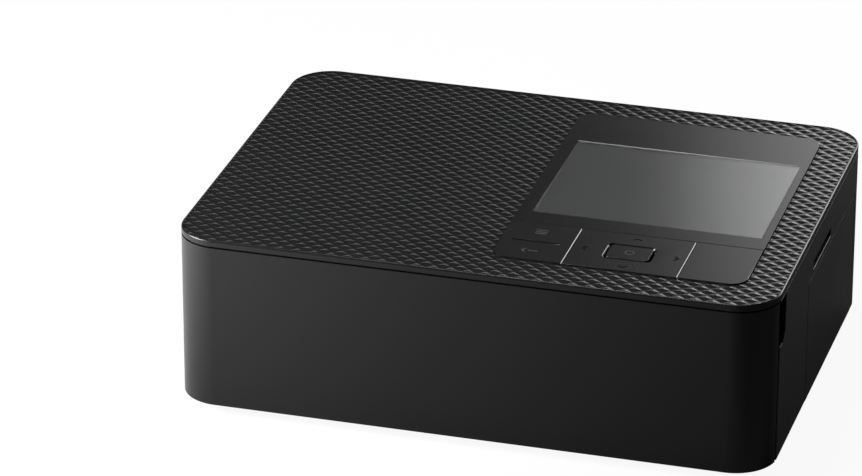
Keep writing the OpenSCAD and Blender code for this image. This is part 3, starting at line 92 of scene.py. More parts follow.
back = Vector((math.sin(AZIMUTH) * math.cos(ELEVATION), -math.cos(AZIMUTH) * math.cos(ELEVATION),
               math.sin(ELEVATION)))
level = Vector((0, 0, 1)).cross(back).normalized()
over = back.cross(level)
right = math.cos(ROLL) * level + math.sin(ROLL) * over
up = math.cos(ROLL) * over - math.sin(ROLL) * level
place = back * DISTANCE + Vector((0, 0, AIM_HEIGHT)) + right * SIDEWAYS + up * UPWARDS

bpy.ops.object.select_all(action="DESELECT")
bpy.ops.object.camera_add(location=place)
camera = bpy.context.object
camera.name = "product_camera"
camera.matrix_world = Matrix.Translation(place) @ Matrix((right, up, back)).transposed().to_4x4()
camera.data.sensor_width = SENSOR_MM
camera.data.lens = LENS_MM
camera.data.clip_start = NEAREST
bpy.context.scene.camera = camera
print("camera at", [round(v, 3) for v in place])

# %% [markdown]
# ## Floor and light
# Black plastic shows its shape through what it mirrors. A small lamp stands low at the front left: it lights
# the pale floor there, and the left corner mirrors that floor. What the casing mirrors of the floor is also
# painted: the floor's grey is lighter at the left, a painted pool of light, and darker to the right, painted
# shade.
# Two walls of light stand behind, one above the other, and both grow brighter towards the right: the low one
# is mirrored by the sloping sides of the bumps, the high one by the flat panel and the display. A lamp at the
# back right is caught by the right edges of the keys and of the lid, and a lamp above by the chamfer behind
# the display. The world is white for the camera and through glass, dim as a light, and in reflections bright
# only near the horizon.

# %% Helper that makes shader nodes
bpy.context.scene.view_settings.view_transform = "Standard"


def node_in(tree, kind, **values):
    """A new node in a tree, with its settings and its unlinked sockets filled in."""
    made = tree.nodes.new(kind)
    for key, value in values.items():
        if key in made.inputs:
            made.inputs[key].default_value = value
        else:
            setattr(made, key, value)
    return made


# %% World
# how bright it is as a light, mirrored from high up and mirrored at the horizon, and where the horizon ends
WORLD_FILL = 0.12
WORLD_HIGH = 0.03
WORLD_HORIZON = 0.25
HORIZON_TOP = 0.30
world = bpy.data.worlds.new("studio")
bpy.context.scene.world = world
world.use_nodes = True
tree = world.node_tree
tree.nodes.clear()
sky_out = node_in(tree, "ShaderNodeOutputWorld")
sky = node_in(tree, "ShaderNodeBackground")
sky.inputs["Color"].default_value = (1, 1, 1, 1)
direction = node_in(tree, "ShaderNodeTexCoord")
axes = node_in(tree, "ShaderNodeSeparateXYZ")
mirrored = node_in(tree, "ShaderNodeMapRange", interpolation_type="SMOOTHSTEP")
for label, value in (("From Min", 0.0), ("From Max", HORIZON_TOP),
                     ("To Min", WORLD_HORIZON), ("To Max", WORLD_HIGH)):
    mirrored.inputs[label].default_value = value
path = node_in(tree, "ShaderNodeLightPath")
unseen = node_in(tree, "ShaderNodeMix", data_type="FLOAT")
unseen.inputs["A"].default_value = WORLD_FILL
seen = node_in(tree, "ShaderNodeMath", operation="MAXIMUM")
strength = node_in(tree, "ShaderNodeMath", operation="MAXIMUM")
tree.links.new(direction.outputs["Generated"], axes.inputs[0])
tree.links.new(axes.outputs["Z"], mirrored.inputs["Value"])
tree.links.new(path.outputs["Is Glossy Ray"], unseen.inputs["Factor"])
tree.links.new(mirrored.outputs["Result"], unseen.inputs["B"])
tree.links.new(path.outputs["Is Camera Ray"], seen.inputs[0])
tree.links.new(path.outputs["Is Transmission Ray"], seen.inputs[1])
tree.links.new(seen.outputs[0], strength.inputs[0])
tree.links.new(unseen.outputs["Result"], strength.inputs[1])
tree.links.new(strength.outputs[0], sky.inputs["Strength"])
tree.links.new(sky.outputs[0], sky_out.inputs["Surface"])
print("world fill", WORLD_FILL, "mirrored horizon", WORLD_HORIZON)

# %% Floor
# to reflections and as a bounce the floor is a grey that changes between two places along X: painted light,
# lighter at the left near the lamp, and painted shade, darker to the right
FLOOR_SIZE = 8.0
FLOOR_WHITE = 0.90
FLOOR_GLOW = 0.92
FLOOR_PAINTED_LIGHT_LEFT = (-0.14, 0.50)
FLOOR_PAINTED_SHADE_RIGHT = (0.12, 0.10)
bpy.ops.object.select_all(action="DESELECT")
bpy.ops.mesh.primitive_plane_add(size=FLOOR_SIZE, location=(0, 0, 0))
floor = bpy.context.object
floor.name = "floor"
floor_look = bpy.data.materials.new("pale_floor")
floor_look.use_nodes = True
tree = floor_look.node_tree
tree.nodes.clear()
floor_out = node_in(tree, "ShaderNodeOutputMaterial")
floor_mix = node_in(tree, "ShaderNodeMixShader")
floor_lift = node_in(tree, "ShaderNodeMixShader", Fac=FLOOR_GLOW)
floor_plain = node_in(tree, "ShaderNodeBsdfDiffuse")
floor_place = node_in(tree, "ShaderNodeTexCoord")
floor_axes = node_in(tree, "ShaderNodeSeparateXYZ")
# painted light and shade: the floor's grey in reflections and bounce runs from light at the left to dark at
# the right
floor_painted_light_ramp = node_in(tree, "ShaderNodeMapRange")
for label, value in zip(("From Min", "To Min", "From Max", "To Max"), FLOOR_PAINTED_LIGHT_LEFT + FLOOR_PAINTED_SHADE_RIGHT):
    floor_painted_light_ramp.inputs[label].default_value = value
floor_white = node_in(tree, "ShaderNodeBsdfDiffuse", Color=(FLOOR_WHITE, FLOOR_WHITE, FLOOR_WHITE, 1))
floor_glow = node_in(tree, "ShaderNodeEmission", Color=(1, 1, 1, 1), Strength=1.0)
path = node_in(tree, "ShaderNodeLightPath")
seen = node_in(tree, "ShaderNodeMath", operation="MAXIMUM")
tree.links.new(path.outputs["Is Camera Ray"], seen.inputs[0])
tree.links.new(path.outputs["Is Transmission Ray"], seen.inputs[1])
tree.links.new(seen.outputs[0], floor_mix.inputs["Fac"])
tree.links.new(floor_place.outputs["Object"], floor_axes.inputs[0])
tree.links.new(floor_axes.outputs["X"], floor_painted_light_ramp.inputs["Value"])
tree.links.new(floor_painted_light_ramp.outputs["Result"], floor_plain.inputs["Color"])
tree.links.new(floor_plain.outputs[0], floor_mix.inputs[1])
tree.links.new(floor_white.outputs[0], floor_lift.inputs[1])
tree.links.new(floor_glow.outputs[0], floor_lift.inputs[2])
tree.links.new(floor_lift.outputs[0], floor_mix.inputs[2])
tree.links.new(floor_mix.outputs[0], floor_out.inputs["Surface"])
floor.data.materials.append(floor_look)
print("floor", FLOOR_SIZE, "m wide")

# %% Lamps
def softbox(name, at, aim, width, height, radiance, fade=None):
    """A wide lamp that shines from one point towards another, as bright per area as told.
    With a fade (x0, share0, x1, share1) its brightness changes along X between the two shares."""
    bpy.ops.object.select_all(action="DESELECT")
    bpy.ops.object.light_add(type="AREA", location=at)
    lamp = bpy.context.object
    lamp.name = name
    lamp.rotation_euler = (Vector(at) - Vector(aim)).to_track_quat("Z", "Y").to_euler()
    lamp.data.shape = "RECTANGLE"
    lamp.data.size = width
    lamp.data.size_y = height
    lamp.data.energy = radiance * math.pi * width * height
    lamp.visible_camera = False
    if fade:
        lamp.data.use_nodes = True
        tree = lamp.data.node_tree
        spot = node_in(tree, "ShaderNodeNewGeometry")
        axes = node_in(tree, "ShaderNodeSeparateXYZ")
        ramp = node_in(tree, "ShaderNodeMapRange")
        for label, value in zip(("From Min", "To Min", "From Max", "To Max"), fade):
            ramp.inputs[label].default_value = value
        tree.links.new(spot.outputs["Position"], axes.inputs[0])
        tree.links.new(axes.outputs["X"], ramp.inputs["Value"])
        tree.links.new(ramp.outputs["Result"], tree.nodes["Emission"].inputs["Strength"])
    print(name, "power", round(lamp.data.energy, 2))


WALL_Y = 0.60
BACK_RIGHT_Y = 0.55
softbox("lamp_front_left", at=(-0.38, -0.20, 0.20), aim=(-0.16, -0.14, 0),
        width=0.20, height=0.20, radiance=40.0)
softbox("lamp_above", at=(-0.144, 0.223, 0.917), aim=(0.04, 0.03, 0.05),
        width=0.17, height=0.17, radiance=20.0)
softbox("lamp_wall_low", at=(0.05, WALL_Y, 0.134), aim=(0.05, 0, 0.134),
        width=1.10, height=0.112, radiance=3.0, fade=(-0.07, 0.20, 0.04, 1.0))
softbox("lamp_wall_high", at=(0.195, WALL_Y, 0.32), aim=(0.195, 0, 0.32),
        width=0.71, height=0.24, radiance=2.2, fade=(-0.10, 0.0, 0.0, 1.0))
softbox("lamp_back_right", at=(0.40, BACK_RIGHT_Y, 0.24), aim=(0.05, 0, 0.05),
        width=0.26, height=0.16, radiance=6.5)

# %% [markdown]
# ## Shared effects
# Moulded plastic is never quite smooth: it has a fine grain, its gloss wanders a little, and its edges are
# polished by touch. Each of these effects is a node group with named inputs and outputs, built once and
# placed in many materials with different values.

# %% Effect groups
def new_group(name, inputs, outputs):
    """An empty node group with float, vector or colour sockets."""
    group = bpy.data.node_groups.new(name, "ShaderNodeTree")
    for sockets, way in ((inputs, "INPUT"), (outputs, "OUTPUT")):
        for label, kind, value in sockets:
            made = group.interface.new_socket(name=label, in_out=way, socket_type="NodeSocket" + kind)
            if way == "INPUT" and value is not None:
                made.default_value = value
    return group, node_in(group, "NodeGroupInput"), node_in(group, "NodeGroupOutput")


# fine grain: a height for the bump, and a gloss that wanders with it
grain_group, g_in, g_out = new_group(
    "fine_grain",
    [("Place", "Vector", None), ("Grain Scale", "Float", 2600.0), ("Roughness", "Float", 0.4),
     ("Spread", "Float", 0.08)],
    [("Height", "Float", None), ("Roughness", "Float", None)])
fine = node_in(grain_group, "ShaderNodeTexNoise", Detail=3.0, Roughness=0.6)
cloud = node_in(grain_group, "ShaderNodeTexNoise", Scale=38.0, Detail=4.0, Roughness=0.55)
both = node_in(grain_group, "ShaderNodeMath", operation="ADD")
middle = node_in(grain_group, "ShaderNodeMath", operation="SUBTRACT")
middle.inputs[1].default_value = 1.0
wander = node_in(grain_group, "ShaderNodeMath", operation="MULTIPLY_ADD")
grain_group.links.new(g_in.outputs["Place"], fine.inputs["Vector"])
grain_group.links.new(g_in.outputs["Grain Scale"], fine.inputs["Scale"])
grain_group.links.new(g_in.outputs["Place"], cloud.inputs["Vector"])
grain_group.links.new(fine.outputs["Fac"], both.inputs[0])
grain_group.links.new(cloud.outputs["Fac"], both.inputs[1])
grain_group.links.new(both.outputs[0], middle.inputs[0])
grain_group.links.new(middle.outputs[0], wander.inputs[0])
grain_group.links.new(g_in.outputs["Spread"], wander.inputs[1])
grain_group.links.new(g_in.outputs["Roughness"], wander.inputs[2])
grain_group.links.new(fine.outputs["Fac"], g_out.inputs["Height"])
grain_group.links.new(wander.outputs[0], g_out.inputs["Roughness"])

# tone: a colour that drifts slowly, and is a little paler on worn edges
tone_group, g_in, g_out = new_group(
    "tone_and_wear",
    [("Place", "Vector", None), ("Color", "Color", (0.01, 0.01, 0.01, 1)),
     ("Worn Color", "Color", (0.03, 0.03, 0.03, 1)), ("Wear", "Float", 0.3), ("Drift", "Float", 0.15)],
    [("Color", "Color", None)])
drift_noise = node_in(tone_group, "ShaderNodeTexNoise", Scale=22.0, Detail=3.0)
drift_scale = node_in(tone_group, "ShaderNodeMapRange")
drift_scale.inputs["From Min"].default_value = 0.3
drift_scale.inputs["From Max"].default_value = 0.7
drifted = node_in(tone_group, "ShaderNodeMix", data_type="RGBA", blend_type="MULTIPLY")
edge = node_in(tone_group, "ShaderNodeNewGeometry")
edge_mask = node_in(tone_group, "ShaderNodeMapRange")
edge_mask.inputs["From Min"].default_value = 0.53
edge_mask.inputs["From Max"].default_value = 0.62
edge_share = node_in(tone_group, "ShaderNodeMath", operation="MULTIPLY")
worn = node_in(tone_group, "ShaderNodeMix", data_type="RGBA")
low_tone = node_in(tone_group, "ShaderNodeMath", operation="SUBTRACT")
low_tone.inputs[0].default_value = 1.0
tone_group.links.new(g_in.outputs["Place"], drift_noise.inputs["Vector"])
tone_group.links.new(drift_noise.outputs["Fac"], drift_scale.inputs["Value"])
tone_group.links.new(g_in.outputs["Drift"], low_tone.inputs[1])
tone_group.links.new(low_tone.outputs[0], drift_scale.inputs["To Min"])
tone_group.links.new(drift_scale.outputs["Result"], drifted.inputs["B"])
drifted.inputs["Factor"].default_value = 1.0
tone_group.links.new(g_in.outputs["Color"], drifted.inputs["A"])
tone_group.links.new(edge.outputs["Pointiness"], edge_mask.inputs["Value"])
tone_group.links.new(edge_mask.outputs["Result"], edge_share.inputs[0])
tone_group.links.new(g_in.outputs["Wear"], edge_share.inputs[1])
tone_group.links.new(edge_share.outputs[0], worn.inputs["Factor"])
tone_group.links.new(drifted.outputs["Result"], worn.inputs["A"])
tone_group.links.new(g_in.outputs["Worn Color"], worn.inputs["B"])
tone_group.links.new(worn.outputs["Result"], g_out.inputs["Color"])

# brushed lines: long thin streaks along one axis
brush_group, g_in, g_out = new_group(
    "brushed_lines",
    [("Place", "Vector", None), ("Roughness", "Float", 0.3), ("Spread", "Float", 0.2)],
    [("Height", "Float", None), ("Roughness", "Float", None)])
stretch = node_in(brush_group, "ShaderNodeMapping")
stretch.inputs["Scale"].default_value = (60, 4200, 4200)
lines = node_in(brush_group, "ShaderNodeTexNoise", Scale=1.0, Detail=2.0)
line_mid = node_in(brush_group, "ShaderNodeMath", operation="SUBTRACT")
line_mid.inputs[1].default_value = 0.5
line_gloss = node_in(brush_group, "ShaderNodeMath", operation="MULTIPLY_ADD")
brush_group.links.new(g_in.outputs["Place"], stretch.inputs["Vector"])
brush_group.links.new(stretch.outputs[0], lines.inputs["Vector"])
brush_group.links.new(lines.outputs["Fac"], line_mid.inputs[0])
brush_group.links.new(line_mid.outputs[0], line_gloss.inputs[0])
brush_group.links.new(g_in.outputs["Spread"], line_gloss.inputs[1])
brush_group.links.new(g_in.outputs["Roughness"], line_gloss.inputs[2])
brush_group.links.new(lines.outputs["Fac"], g_out.inputs["Height"])
brush_group.links.new(line_gloss.outputs[0], g_out.inputs["Roughness"])
print("effect groups:", [g.name for g in bpy.data.node_groups])

# %% [markdown]
# ## Materials
# Each finish is a Principled shader. The colour comes through the tone group and the gloss through the grain
# group, because both wander over the surface. What is the same all over, such as the strength of the
# reflection, is set on the shader itself.

# %% Material makers
def base_material(name):
    """A material with a Principled shader and object coordinates."""
    made = bpy.data.materials.new(name)
    made.use_nodes = True
    tree = made.node_tree
    shader = tree.nodes["Principled BSDF"]
    coords = node_in(tree, "ShaderNodeTexCoord")
    return made, tree, shader, coords.outputs["Object"]


def add_group(tree, group, place, **values):
    """A placed copy of an effect group, with its values."""
    made = tree.nodes.new("ShaderNodeGroup")
    made.node_tree = group
    tree.links.new(place, made.inputs["Place"])
    for key, value in values.items():
        made.inputs[key.replace("_", " ")].default_value = value
    return made


def add_bump(tree, shader, height, depth):
    """Feeds a height into the shader's normal. The depth is in metres."""
    bump = node_in(tree, "ShaderNodeBump", Strength=1.0, Distance=depth)
    tree.links.new(height, bump.inputs["Height"])
    tree.links.new(bump.outputs["Normal"], shader.inputs["Normal"])


def moulded(name, color, worn, roughness, spread=0.08, scale=2600.0, depth=0.00001, wear=0.3,
            specular=0.5, drift=0.15):
    """Moulded plastic or rubber: fine grain, wandering gloss, paler edges."""
    made, tree, shader, place = base_material(name)
    grain = add_group(tree, grain_group, place, Grain_Scale=scale, Roughness=roughness, Spread=spread)
    tone = add_group(tree, tone_group, place, Color=(*color, 1), Worn_Color=(*worn, 1), Wear=wear,
                     Drift=drift)
    tree.links.new(tone.outputs["Color"], shader.inputs["Base Color"])
    tree.links.new(grain.outputs["Roughness"], shader.inputs["Roughness"])
    add_bump(tree, shader, grain.outputs["Height"], depth)
    shader.inputs["Specular IOR Level"].default_value = specular
    return made


def metal(name, color, roughness, spread=0.2, depth=0.000003):
    """Bare metal with fine lines along X."""
    made, tree, shader, place = base_material(name)
    brushed = add_group(tree, brush_group, place, Roughness=roughness, Spread=spread)
    tone = add_group(tree, tone_group, place, Color=(*color, 1), Worn_Color=(*color, 1), Wear=0.0,
                     Drift=0.12)
    tree.links.new(tone.outputs["Color"], shader.inputs["Base Color"])
    tree.links.new(brushed.outputs["Roughness"], shader.inputs["Roughness"])
    add_bump(tree, shader, brushed.outputs["Height"], depth)
    shader.inputs["Metallic"].default_value = 1.0
    return made


# %% Finishes, by the record's slots
looks = {
    "case_black": moulded("case_black", (0.005, 0.005, 0.0053), (0.012, 0.012, 0.0125), 0.30,
                          specular=0.40),
    "skin_black": moulded("skin_black", (0.006, 0.006, 0.0063), (0.012, 0.012, 0.0125), 0.25,
                          depth=0.000004),
    "panel_gloss": moulded("panel_gloss", (0.006, 0.006, 0.0062), (0.014, 0.014, 0.014), 0.26, spread=0.05,
                           scale=3400.0, depth=0.000003),
    "display_grey": moulded("display_grey", (0.030, 0.030, 0.0295), (0.05, 0.05, 0.05), 0.24, spread=0.03,
                            depth=0.000001, wear=0.0, drift=0.05, specular=0.0),
    "inner_black": moulded("inner_black", (0.014, 0.014, 0.015), (0.03, 0.03, 0.03), 0.50),
    "rubber_black": moulded("rubber_black", (0.006, 0.006, 0.006), (0.012, 0.012, 0.012), 0.80,
                            specular=0.12, depth=0.00002),
    "roller_rubber": moulded("roller_rubber", (0.03, 0.03, 0.031), (0.06, 0.06, 0.06), 0.70, specular=0.3,
                             depth=0.00002),
    "gear_white": moulded("gear_white", (0.62, 0.59, 0.50), (0.72, 0.70, 0.62), 0.38, depth=0.000004),
    "head_ceramic": moulded("head_ceramic", (0.62, 0.60, 0.54), (0.7, 0.68, 0.62), 0.30, depth=0.000003),
    "cassette_grey": moulded("cassette_grey", (0.055, 0.057, 0.06), (0.1, 0.1, 0.1), 0.45),
    "ribbon_film": moulded("ribbon_film", (0.018, 0.012, 0.035), (0.03, 0.02, 0.05), 0.16, spread=0.05,
                           depth=0.000002, wear=0.0),
    "lever_blue": moulded("lever_blue", (0.03, 0.10, 0.33), (0.1, 0.2, 0.45), 0.42),
    "board_green": moulded("board_green", (0.012, 0.085, 0.03), (0.10, 0.16, 0.06), 0.34, scale=900.0),
    "steel": metal("steel", (0.50, 0.51, 0.52), 0.26),
    "sheet_steel": metal("sheet_steel", (0.46, 0.47, 0.48), 0.38),
    "alloy": metal("alloy", (0.60, 0.61, 0.62), 0.36),
    "brass": metal("brass", (0.60, 0.42, 0.14), 0.30),
}

# %% The tinted pane over the display, and the prints
glass, tree, shader, place = base_material("window_clear")
haze = add_group(tree, grain_group, place, Grain_Scale=900.0, Roughness=0.14, Spread=0.04)
tree.links.new(haze.outputs["Roughness"], shader.inputs["Roughness"])
shader.inputs["Base Color"].default_value = (0.42, 0.43, 0.43, 1)
shader.inputs["Transmission Weight"].default_value = 1.0
shader.inputs["IOR"].default_value = 1.78
looks["window_clear"] = glass

MARK_GREY = (0.06, 0.06, 0.06)
MARK_BLACK = (0.003, 0.003, 0.003)
mark_grey = moulded("mark_grey", MARK_GREY, MARK_GREY, 0.5, specular=0.2, wear=0.0)
mark_black = moulded("mark_black", MARK_BLACK, MARK_BLACK, 0.6, specular=0.05, wear=0.0)
print("finishes of slots:", len(looks))

# %% Every CAD piece gets the finish of its slot
slot_of = {row["node"]: row["material_slot"] for row in frame["record"]["subparts"]}
body_of = {name: obj["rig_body"] for name, obj in frame["nodes"].items()}
for name, obj in frame["nodes"].items():
    for material_slot in obj.material_slots:
        material_slot.material = looks[slot_of[name]]
print("pieces with a finish:", len(slot_of))

# %% [markdown]
# ## Tools for modelling
# The next helpers do what a modeller does by hand: pick one object, enter edit mode, select faces or edges
# by where they are, and leave edit mode again.

# %% Modelling helpers
# points nearer than this count as one place; and the segments of a slab's round corner
CLOSE = 0.01 * MM
CORNER_SEGMENTS = 14


def only(obj):
    """Selects one object alone and makes it active."""
    bpy.ops.object.select_all(action="DESELECT")
    obj.hide_set(False)
    obj.select_set(True)
    bpy.context.view_layer.objects.active = obj


def pick(obj, kind, test):
    """In edit mode: selects the elements of one kind that pass a test, and says how many."""
    bpy.ops.mesh.select_mode(type=kind)
    bpy.ops.mesh.select_all(action="DESELECT")
    mesh = bmesh.from_edit_mesh(obj.data)
    found = {"VERT": mesh.verts, "EDGE": mesh.edges, "FACE": mesh.faces}[kind]
    count = 0
    for element in found:
        if test(element):
            element.select_set(True)
            count += 1
    mesh.select_flush_mode()
    bmesh.update_edit_mesh(obj.data)
    return count


def apply_all(obj):
    """Applies every modifier in order."""
    only(obj)
    for modifier in list(obj.modifiers):
        bpy.ops.object.modifier_apply(modifier=modifier.name)


def upright(edge):
    """True for an edge that runs along Z."""
    a, b = (v.co for v in edge.verts)
    return abs(a.x - b.x) + abs(a.y - b.y) < 1e-7


def rounded_slab(name, low, high, corner):
    """A slab between two corners with round upright edges."""
    bpy.ops.object.select_all(action="DESELECT")
    bpy.ops.mesh.primitive_cube_add(size=1, location=(0, 0, 0))
    slab = bpy.context.object
    slab.name = name
    bpy.ops.object.mode_set(mode="EDIT")
    bpy.ops.transform.resize(value=tuple(high[i] - low[i] for i in range(3)))
    bpy.ops.transform.translate(value=tuple((high[i] + low[i]) / 2 for i in range(3)))
    pick(slab, "EDGE", upright)
    bpy.ops.mesh.bevel(offset=corner, segments=CORNER_SEGMENTS, affect="EDGES", profile=0.5)
    bpy.ops.object.mode_set(mode="OBJECT")
    return slab


def cut(obj, tool, operation):
    """A boolean between two objects: the tool is used up."""
    modifier = obj.modifiers.new("cut", "BOOLEAN")
    modifier.operation = operation
    modifier.solver = "EXACT"
    modifier.object = tool
    apply_all(obj)
    only(tool)
    bpy.ops.object.delete()


def smooth(obj, degrees):
    """Smooth shading, with edges sharper than an angle left crisp."""
    only(obj)
    bpy.ops.object.shade_smooth_by_angle(angle=math.radians(degrees))


def dress(obj, name, look, body, slot, *nodes):
    """Names a finished piece, gives it its material and body, and hides the CAD nodes it stands for."""
    obj.name = name
    obj.data.name = name
    obj.data.materials.clear()
    obj.data.materials.append(look)
    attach(obj, body)
    if nodes:
        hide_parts(*nodes)
    triangles = sum(len(p.vertices) - 2 for p in obj.data.polygons)
    print(name, "triangles", triangles)


# %% [markdown]
# ## The bumped skin of the lid
# The lid of the printer is covered with small diamond-shaped bumps in staggered rows. One bump is a cone
# with four sides, stretched and with its edges softened. Two Array modifiers repeat it over the lid, a copy
# of the whole field fills the gaps, and a boolean trims the field to the lid's outline. The slope of the
# sides decides what they mirror, so the height follows from it.

# %% Outline of the skin
# the gap round the keys and beside the display's surround, the two corner radii, and the skin's thickness
PANEL_GAP = 0.3 * MM
PANEL_SEAM = 0.2 * MM
PANEL_CORNER = 5.5 * MM
LID_CORNER = 12.4 * MM
SKIN_BASE = 0.18 * MM
skin_low, skin_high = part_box("top_plate")
panel_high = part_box("panel_frame")[1]
key_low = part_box("menu_key")[0]
panel_edge_low = Vector((key_low.x - PANEL_GAP, key_low.y - PANEL_GAP, 0))
panel_edge_high = Vector((panel_high.x + PANEL_SEAM, panel_high.y + PANEL_SEAM, 0))


def lid_outline(name, z0, z1):
    """The lid's outline as a slab between two heights, without the control panel."""
    slab = rounded_slab(name, (skin_low.x, skin_low.y, z0), (skin_high.x, skin_high.y, z1),
                        LID_CORNER)
    hole = rounded_slab("hole", (panel_edge_low.x, panel_edge_low.y, z0 - MM),
                        (panel_edge_high.x, panel_edge_high.y, z1 + MM), PANEL_CORNER)
    cut(slab, hole, "DIFFERENCE")
    return slab


skin = lid_outline("skin", skin_low.z, skin_low.z + SKIN_BASE)

# %% One bump
# its cell, the share of the cell that it fills, the share of its flat top, the slope of its sides, its
# rounding, and how deep it stands in the skin
BUMP_ACROSS = 5.22 * MM
BUMP_ALONG = 4.22 * MM
BUMP_FILL = 0.98
BUMP_TOP = 0.16
BUMP_SLOPE = math.radians(15)
BUMP_SOFT = 0.17 * MM
SKIN_SINK = 0.05 * MM
bump_base = skin_low.z + SKIN_BASE - SKIN_SINK
half_x = BUMP_ACROSS / 2 * BUMP_FILL
half_y = BUMP_ALONG / 2 * BUMP_FILL
edge_reach = half_x * half_y / math.hypot(half_x, half_y)
bump_height = edge_reach * (1 - BUMP_TOP) * math.tan(BUMP_SLOPE)
bpy.ops.object.select_all(action="DESELECT")
bpy.ops.mesh.primitive_cone_add(vertices=4, radius1=1, radius2=BUMP_TOP, depth=1, location=(0, 0, 0))
bumps = bpy.context.object
bpy.ops.object.mode_set(mode="EDIT")
bpy.ops.mesh.select_all(action="SELECT")
bpy.ops.transform.resize(value=(half_x, half_y, bump_height))
pick(bumps, "EDGE", lambda e: max(v.co.z for v in e.verts) > 0)
bpy.ops.mesh.bevel(offset=BUMP_SOFT, segments=2, affect="EDGES")
bpy.ops.mesh.select_all(action="SELECT")
columns = math.ceil((skin_high.x - skin_low.x) / BUMP_ACROSS) + 1
rows = math.ceil((skin_high.y - skin_low.y) / BUMP_ALONG) + 1
bpy.ops.transform.translate(value=(-BUMP_ACROSS * (columns - 1) / 2, -BUMP_ALONG * (rows - 1) / 2,
                                   bump_base + bump_height / 2))
bpy.ops.object.mode_set(mode="OBJECT")
print("faces of one bump:", len(bumps.data.polygons))

# %% The field of bumps, trimmed to the lid
for axis, count, step in ((0, columns, BUMP_ACROSS), (1, rows, BUMP_ALONG)):
    array = bumps.modifiers.new("array", "ARRAY")
    array.use_relative_offset = False
    array.use_constant_offset = True
    array.constant_offset_displace = [step if axis == i else 0 for i in range(3)]
    array.count = count
apply_all(bumps)
bpy.ops.object.mode_set(mode="EDIT")
bpy.ops.mesh.select_all(action="SELECT")
bpy.ops.mesh.duplicate()
bpy.ops.transform.translate(value=(BUMP_ACROSS / 2, BUMP_ALONG / 2, 0))
bpy.ops.object.mode_set(mode="OBJECT")
cut(bumps, lid_outline("trim", bump_base - MM, bump_base + bump_height + MM), "INTERSECT")
only(skin)
bumps.select_set(True)
bpy.ops.object.join()
SKIN_CRISP = 32
smooth(skin, SKIN_CRISP)
dress(skin, "bumped_skin", looks["skin_black"], "root", "skin_black", "top_plate")

# %% [markdown]
# ## Casings with softened edges
# No moulded edge is knife-sharp. A copy of each outer casing is merged into one mesh, its flat triangles are
# joined into whole faces, and a Bevel modifier rounds what is left of the sharp edges. The size of each
# rounding follows the piece: broad on the casings, fine beside the display.

# %% Merged copies
# points that are one point, faces that are one face, and the width of each piece's roundings in millimetres
SAME_POINT = 0.002 * MM
SAME_PLANE = math.radians(0.6)
ROUNDED = {
    "front_door": 0.45, "left_panel": 0.4, "right_panel": 0.4, "rear_panel": 0.3, "ink_door": 0.3,
    "bottom_case": 0.25, "top_cover": 0.12, "panel_frame": 0.08, "menu_key": 0.32, "print_key": 0.2,
    "nav_key": 0.32, "ok_key": 0.25, "power_key": 0.2, "front_frame": 0.2, "cassette_guide": 0.25,
}


def merged(node):
    """A copy of a CAD node as one mesh with whole faces."""
    only(frame["nodes"][node])
    bpy.ops.object.duplicate()
    piece = bpy.context.object
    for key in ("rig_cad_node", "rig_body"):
        if key in piece:
            del piece[key]
    piece.parent = None
    only(piece)
    bpy.ops.mesh.customdata_custom_splitnormals_clear()
    bpy.ops.object.mode_set(mode="EDIT")
    bpy.ops.mesh.select_all(action="SELECT")
    bpy.ops.mesh.remove_doubles(threshold=SAME_POINT)
    bpy.ops.mesh.dissolve_limited(angle_limit=SAME_PLANE)
    bpy.ops.object.mode_set(mode="OBJECT")
    return piece


pieces = {node: merged(node) for node in ROUNDED}
print("merged copies:", len(pieces))

# %% Room for the prints on the keys
PRINT_HIGH = 0.03 * MM
for node in ("menu_key", "nav_key", "ok_key"):
    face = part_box(node)[1].z
    only(pieces[node])
    bpy.ops.object.mode_set(mode="EDIT")
    lowered = pick(pieces[node], "VERT", lambda v: v.co.z > face - CLOSE)
    bpy.ops.transform.translate(value=(0, 0, -PRINT_HIGH))
    bpy.ops.object.mode_set(mode="OBJECT")
    print(node, "face corners lowered:", lowered)

# %% [markdown]
# The window's opening has a shallow chamfer at the back. It faces the lamp above, so it reads as a thin
# bright line behind the display. A horizontal bisect gives the chamfer its lower edge, and its upper edge is
# moved back.

# %% Chamfer behind the window
CHAMFER_WIDE = 0.34 * MM
CHAMFER_DROP = 0.17 * MM
WINDOW_NEAR = 0.3 * MM
surround = pieces["panel_frame"]
window_low, window_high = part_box("display_window")
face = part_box("panel_frame")[1].z
only(surround)
bpy.ops.object.mode_set(mode="EDIT")
bpy.ops.mesh.select_all(action="SELECT")
bpy.ops.mesh.bisect(plane_co=(0, 0, face - CHAMFER_DROP), plane_no=(0, 0, 1))
moved = pick(surround, "VERT", lambda v: v.co.z > face - CLOSE and abs(v.co.y - window_high.y) < WINDOW_NEAR
             and window_low.x - WINDOW_NEAR < v.co.x < window_high.x + WINDOW_NEAR)
bpy.ops.transform.translate(value=(0, CHAMFER_WIDE, 0))
bpy.ops.object.mode_set(mode="OBJECT")
print("chamfer corners:", moved)

# %% [markdown]
# The right edges of two keys have a chamfer that catches the lamp at the back right. The recess round the
# middle key has rounded corners.

# %% Chamfers and corners of the keys
KEY_CHAMFER = 0.23 * MM
KEY_TOP = 0.05 * MM
RECESS_CORNER = 1.6 * MM
RECESS_NEAR = 0.3 * MM
RECESS_FAR = 1.3 * MM
RECESS_DEEP = 4 * MM


def chamfer(node, width, test, segments=1, longest=1.0):
    """Chamfers or rounds the edges of a merged copy whose ends all pass a test."""
    only(pieces[node])
    bpy.ops.object.mode_set(mode="EDIT")
    edges = pick(pieces[node], "EDGE",
                 lambda e: e.calc_length() < longest and all(test(v.co) for v in e.verts))
    bpy.ops.mesh.bevel(offset=width, offset_type="OFFSET", segments=segments, affect="EDGES",
                       clamp_overlap=False)
    bpy.ops.object.mode_set(mode="OBJECT")
    print(node, "edges chamfered:", edges)


